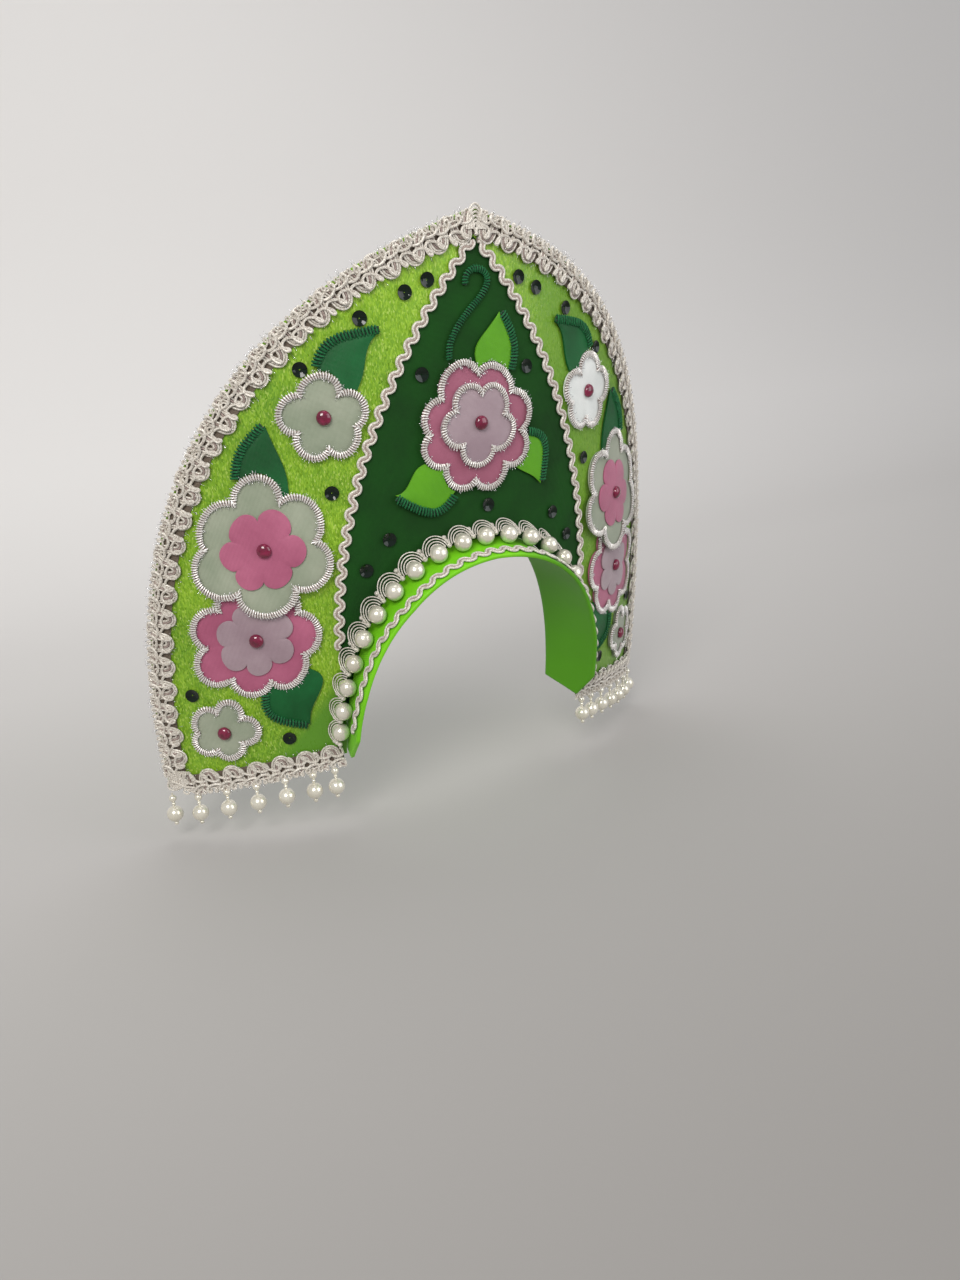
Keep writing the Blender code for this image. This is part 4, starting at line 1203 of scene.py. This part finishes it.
for name, row in LEAVES.items():
    key = row[0]
    for side, word in sides_of(key):
        rows = []
        cord_line = []
        for i in range(25):
            cord, plain, away, shift = leaf_sides(row, i / 24.0)
            line = []
            for u in range(11):
                x, z = local_place(key, cord.lerp(plain, u / 10.0) + shift[u])
                crown = 0.0012 + 0.0005 * math.sin(math.pi * u / 10.0)
                line.append(on_shield(x * side, z, SEAT + crown))
            rows.append(line)
        cloth_of_leaf = LEAF_BRIGHT if key == "centre" else LEAF_DARK
        leaf = sheet(word + name + "_cloth", rows, FRONT, 0.0011, False, True)
        finish_piece(leaf, cloth_of_leaf)
        for i in range(121):
            cord, plain, away, shift = leaf_sides(row, mix(0.03, 1.0, i / 120.0))
            x, z = local_place(key, cord + away * 0.0016 + shift[0])
            cord_line.append((x, z))
        cord_track = shield_track(cord_line, side, SEAT + 0.0008)
        edging(word + name + "_chenille", cord_track, CHENILLE, CHENILLE_SHADE_CORE,
               0.0022, 0.0018, 0.00060)
        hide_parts(word + name)
print("leaf faces:", len(leaf.data.polygons))

# %% [markdown]
# A stem of the same chenille climbs from the centre flower and ends in a hook. A few
# places give its way, and a smooth curve through them gives the path of the cord.

# %% Stem
STEM = ((-0.0985, 0.582), (-0.098, 0.606), (-0.091, 0.634), (-0.062, 0.681), (-0.017, 0.727),
        (0.018, 0.759), (0.041, 0.797), (0.030, 0.826), (-0.004, 0.835), (-0.032, 0.818), (-0.038, 0.790))


def smooth_line(points, count):
    """Catmull-Rom curve through the points."""
    out = []
    for k in range(count + 1):
        t = k / count * (len(points) - 1)
        i = min(int(t), len(points) - 2)
        f = t - i
        p = [points[min(max(i + d, 0), len(points) - 1)] for d in (-1, 0, 1, 2)]
        place = []
        for a, b, c, d in zip(*p):
            linear = 2 * b + (c - a) * f
            square = (2 * a - 5 * b + 4 * c - d) * f * f
            cubic = (3 * b - a - 3 * c + d) * f ** 3
            place.append(0.5 * (linear + square + cubic))
        out.append(tuple(place))
    return out


stem_line = [(x * HALF_WIDTH, z * TOP_HEIGHT) for x, z in smooth_line(STEM, 130)]
stem = edging("stem_chenille", shield_track(stem_line, 1, SEAT), CHENILLE,
              CHENILLE_SHADE_CORE, 0.0016, 0.0015, 0.0005)
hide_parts("stem")
print("stem faces:", len(stem.data.polygons))

# %% [markdown]
# The pearl edging is sold by the metre: plastic pearls with a fan of silver loops
# behind each one. The pearls sit just in front of the shield on the hoop. Each fan is
# four arcs, one outside the other, which spread from the pearl down to the shield.

# %% Pearl edging
PEARL_END = 0.895
COUNT = 21
PEARL_RADIUS = 0.0053


def pearl_place(share):
    ahead = 0.0059 + 0.0031 * math.sin(math.pi * min(abs(share) / PEARL_END, 1.0))
    ahead = min(ahead, hoop_reach(share) - 0.0068 - 0.005 - SEAT) if abs(share) < 0.91 else ahead
    return hoop_point(share, ahead) + hoop_outward(share, ahead) * 0.0055


def fan_edge(share, reach):
    x, z = arch(abs(share))
    nx, nz = arch_normal(abs(share))
    x, z = beside(x, z, nx * reach, nz * reach)
    return on_shield(math.copysign(x, share), z, SEAT)


bpy.ops.object.select_all(action="DESELECT")
bpy.ops.mesh.primitive_uv_sphere_add(segments=32, ring_count=18, radius=PEARL_RADIUS)
ball = bpy.context.object
arcs = []
pitch = 2.0 * PEARL_END / (COUNT - 1)
for i in range(COUNT):
    share = -PEARL_END + pitch * i
    centre_point = pearl_place(share)
    pearl = copy_to(ball, "pearl_%02d" % (i + 1), centre_point, hoop_outward(share, 0.0))
    finish_piece(pearl, PEARL)
    if i == 0:
        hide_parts("pearl_trim")
    away = fan_edge(share, 0.0112) - centre_point
    half = (pearl_place(min(share + pitch / 2, 0.99)) - pearl_place(max(share - pitch / 2, -0.99))) * 0.5
    rise = half.cross(away).normalized()
    rise = rise if rise.dot(FRONT) > 0.0 else -rise
    for k, spread in enumerate((0.50, 0.66, 0.83, 1.0)):
        arc = []
        for j in range(15):
            angle = math.pi * j / 14.0
            point = centre_point + away * (0.12 + (spread - 0.12) * math.sin(angle))
            point = point + half * spread * math.cos(angle)
            arc.append(tuple(point + rise * (0.0010 - 0.0001 * k)))
        arcs.append(arc)
bpy.data.objects.remove(ball)
fans = silver_cords("fan_loops", arcs, 0.00036)
bpy.ops.object.select_all(action="DESELECT")
bpy.ops.mesh.primitive_uv_sphere_add(segments=12, ring_count=8, radius=0.0015)
knot = bpy.context.object
for i in range(COUNT + 1):
    share = -PEARL_END + pitch * (i - 0.5)
    low = pearl_place(max(min(share, 0.99), -0.99))
    high = fan_edge(share, 0.0085)
    for part, height in (("low", 0.2), ("mid", 0.55), ("high", 0.86)):
        place = low.lerp(high, height)
        item = copy_to(knot, "knot_%s_%02d" % (part, i), place, hoop_outward(share, 0.0))
        finish_piece(item, SILVER)
bpy.data.objects.remove(knot)
print("fan arcs:", len(arcs), "faces:", len(fans.data.polygons))

# %% [markdown]
# Seven small drops hang from the foot of each side: a bead, a large pearl and a tiny
# bead on a thread. One drop is spun from a profile with true arcs, and copied.

# %% Drops


def arc_profile(centre_z, radius, start, end, steps):
    out = []
    for i in range(steps + 1):
        angle = math.radians(mix(start, end, i / steps))
        out.append((radius * math.sin(angle), centre_z + radius * math.cos(angle)))
    return out


drop = [(0.0, 0.0), (0.0005, 0.0), (0.0005, -0.0016)]
drop += arc_profile(-0.0036, 0.0023, 25, 158, 8)
drop += arc_profile(-0.0071, 0.0012, 25, 155, 5)
drop += arc_profile(-0.0136, 0.0050, 12, 168, 14)
drop += arc_profile(-0.0196, 0.0014, 35, 180, 6)
form = spun("drop_form", [(max(r, 0.0), z) for r, z in drop], 28)
for number in range(1, 8):
    for word in ("left", "right"):
        name = "%s_pendant_%d" % (word, number)
        low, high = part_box(name)
        top = Vector(((low[0] + high[0]) / 2.0, (low[1] + high[1]) / 2.0, high[2]))
        item = copy_to(form, "%s_drop_%d" % (word, number), top, Vector((0, 0, 1)))
        finish_piece(item, PEARL)
        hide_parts(name)
bpy.data.objects.remove(form)
print("drops: 14")

# %% [markdown]
# The stage is a pale floor that curves up into a wall, with soft light from the left
# and above, and a weak fill. Large lamps give the broad highlights that satin needs.
# The paper is lighter at the back, and it glows a little there as painted light, so the
# wall is brighter than the floor.

# %% Stage and light


def backdrop():
    rows = []
    floor = cad_box[0][2] - 0.012
    for i in range(40):
        t = i / 39.0
        if t < 0.5:
            y, z = mix(-1.6, 0.7, t / 0.5), floor
        else:
            angle = math.pi / 2.0 * min((t - 0.5) / 0.3, 1.0)
            y = 0.7 + 0.6 * math.sin(angle)
            z = floor + 0.6 * (1.0 - math.cos(angle)) + max(t - 0.8, 0.0) * 9.0
        rows.append([Vector((x, y, z)) for x in np.linspace(-3.0, 3.0, 12)])
    return rows


wall = sheet("backdrop", backdrop(), Vector((0, 0, 1)))
paper, tree, shader, place = start_material("backdrop_paper", 0.9)
# Painted light: the paper glows, more at the back, though it is no lamp.
shader.inputs["Emission Color"].default_value = (0.9, 0.88, 0.87, 1.0)
split = node(tree, "ShaderNodeSeparateXYZ")
tree.links.new(place, split.inputs["Vector"])
depth = node(tree, "ShaderNodeMath", operation="MULTIPLY_ADD")
tree.links.new(split.outputs["Y"], depth.inputs[0])
depth.inputs[1].default_value = 0.5
depth.inputs[2].default_value = 0.35
papers = [(0.15, srgb(130, 127, 124)), (0.6, srgb(188, 185, 182)), (0.9, srgb(198, 195, 192))]
colour = ramp(tree, depth.outputs[0], papers)
tree.links.new(colour, shader.inputs["Base Color"])
paper_painted_glow = ramp(tree, depth.outputs[0], [(0.15, grey(0.0)), (0.6, grey(0.09)), (0.9, grey(0.2))])
tree.links.new(paper_painted_glow, shader.inputs["Emission Strength"])
wall.data.materials.clear()
wall.data.materials.append(paper)
for face in wall.data.polygons:
    face.use_smooth = True


def lamp(name, place, aim, size, power, colour):
    data = bpy.data.lights.new(name, "AREA")
    data.size = size
    data.energy = power
    data.color = colour
    item = bpy.data.objects.new(name, data)
    bpy.context.scene.collection.objects.link(item)
    item.location = place
    item.rotation_euler = (Vector(aim) - Vector(place)).to_track_quat("-Z", "Y").to_euler()


lamp("key", (-0.9, -1.0, 0.85), (0, 0, 0.03), 0.7, 18.6, (1.0, 0.98, 0.95))
lamp("fill", (0.9, -1.1, 0.4), (0, 0, 0.0), 1.2, 9.0, (0.96, 0.97, 1.0))
lamp("top", (0.1, 0.2, 1.3), (0, 0.1, 0), 1.0, 7.0, (1.0, 1.0, 1.0))
world = bpy.data.worlds.new("room")
bpy.context.scene.world = world
world.use_nodes = True
world.node_tree.nodes["Background"].inputs["Color"].default_value = (0.9, 0.92, 0.95, 1.0)
world.node_tree.nodes["Background"].inputs["Strength"].default_value = 0.49
bpy.context.scene.view_settings.view_transform = "Standard"
print("stage ready")
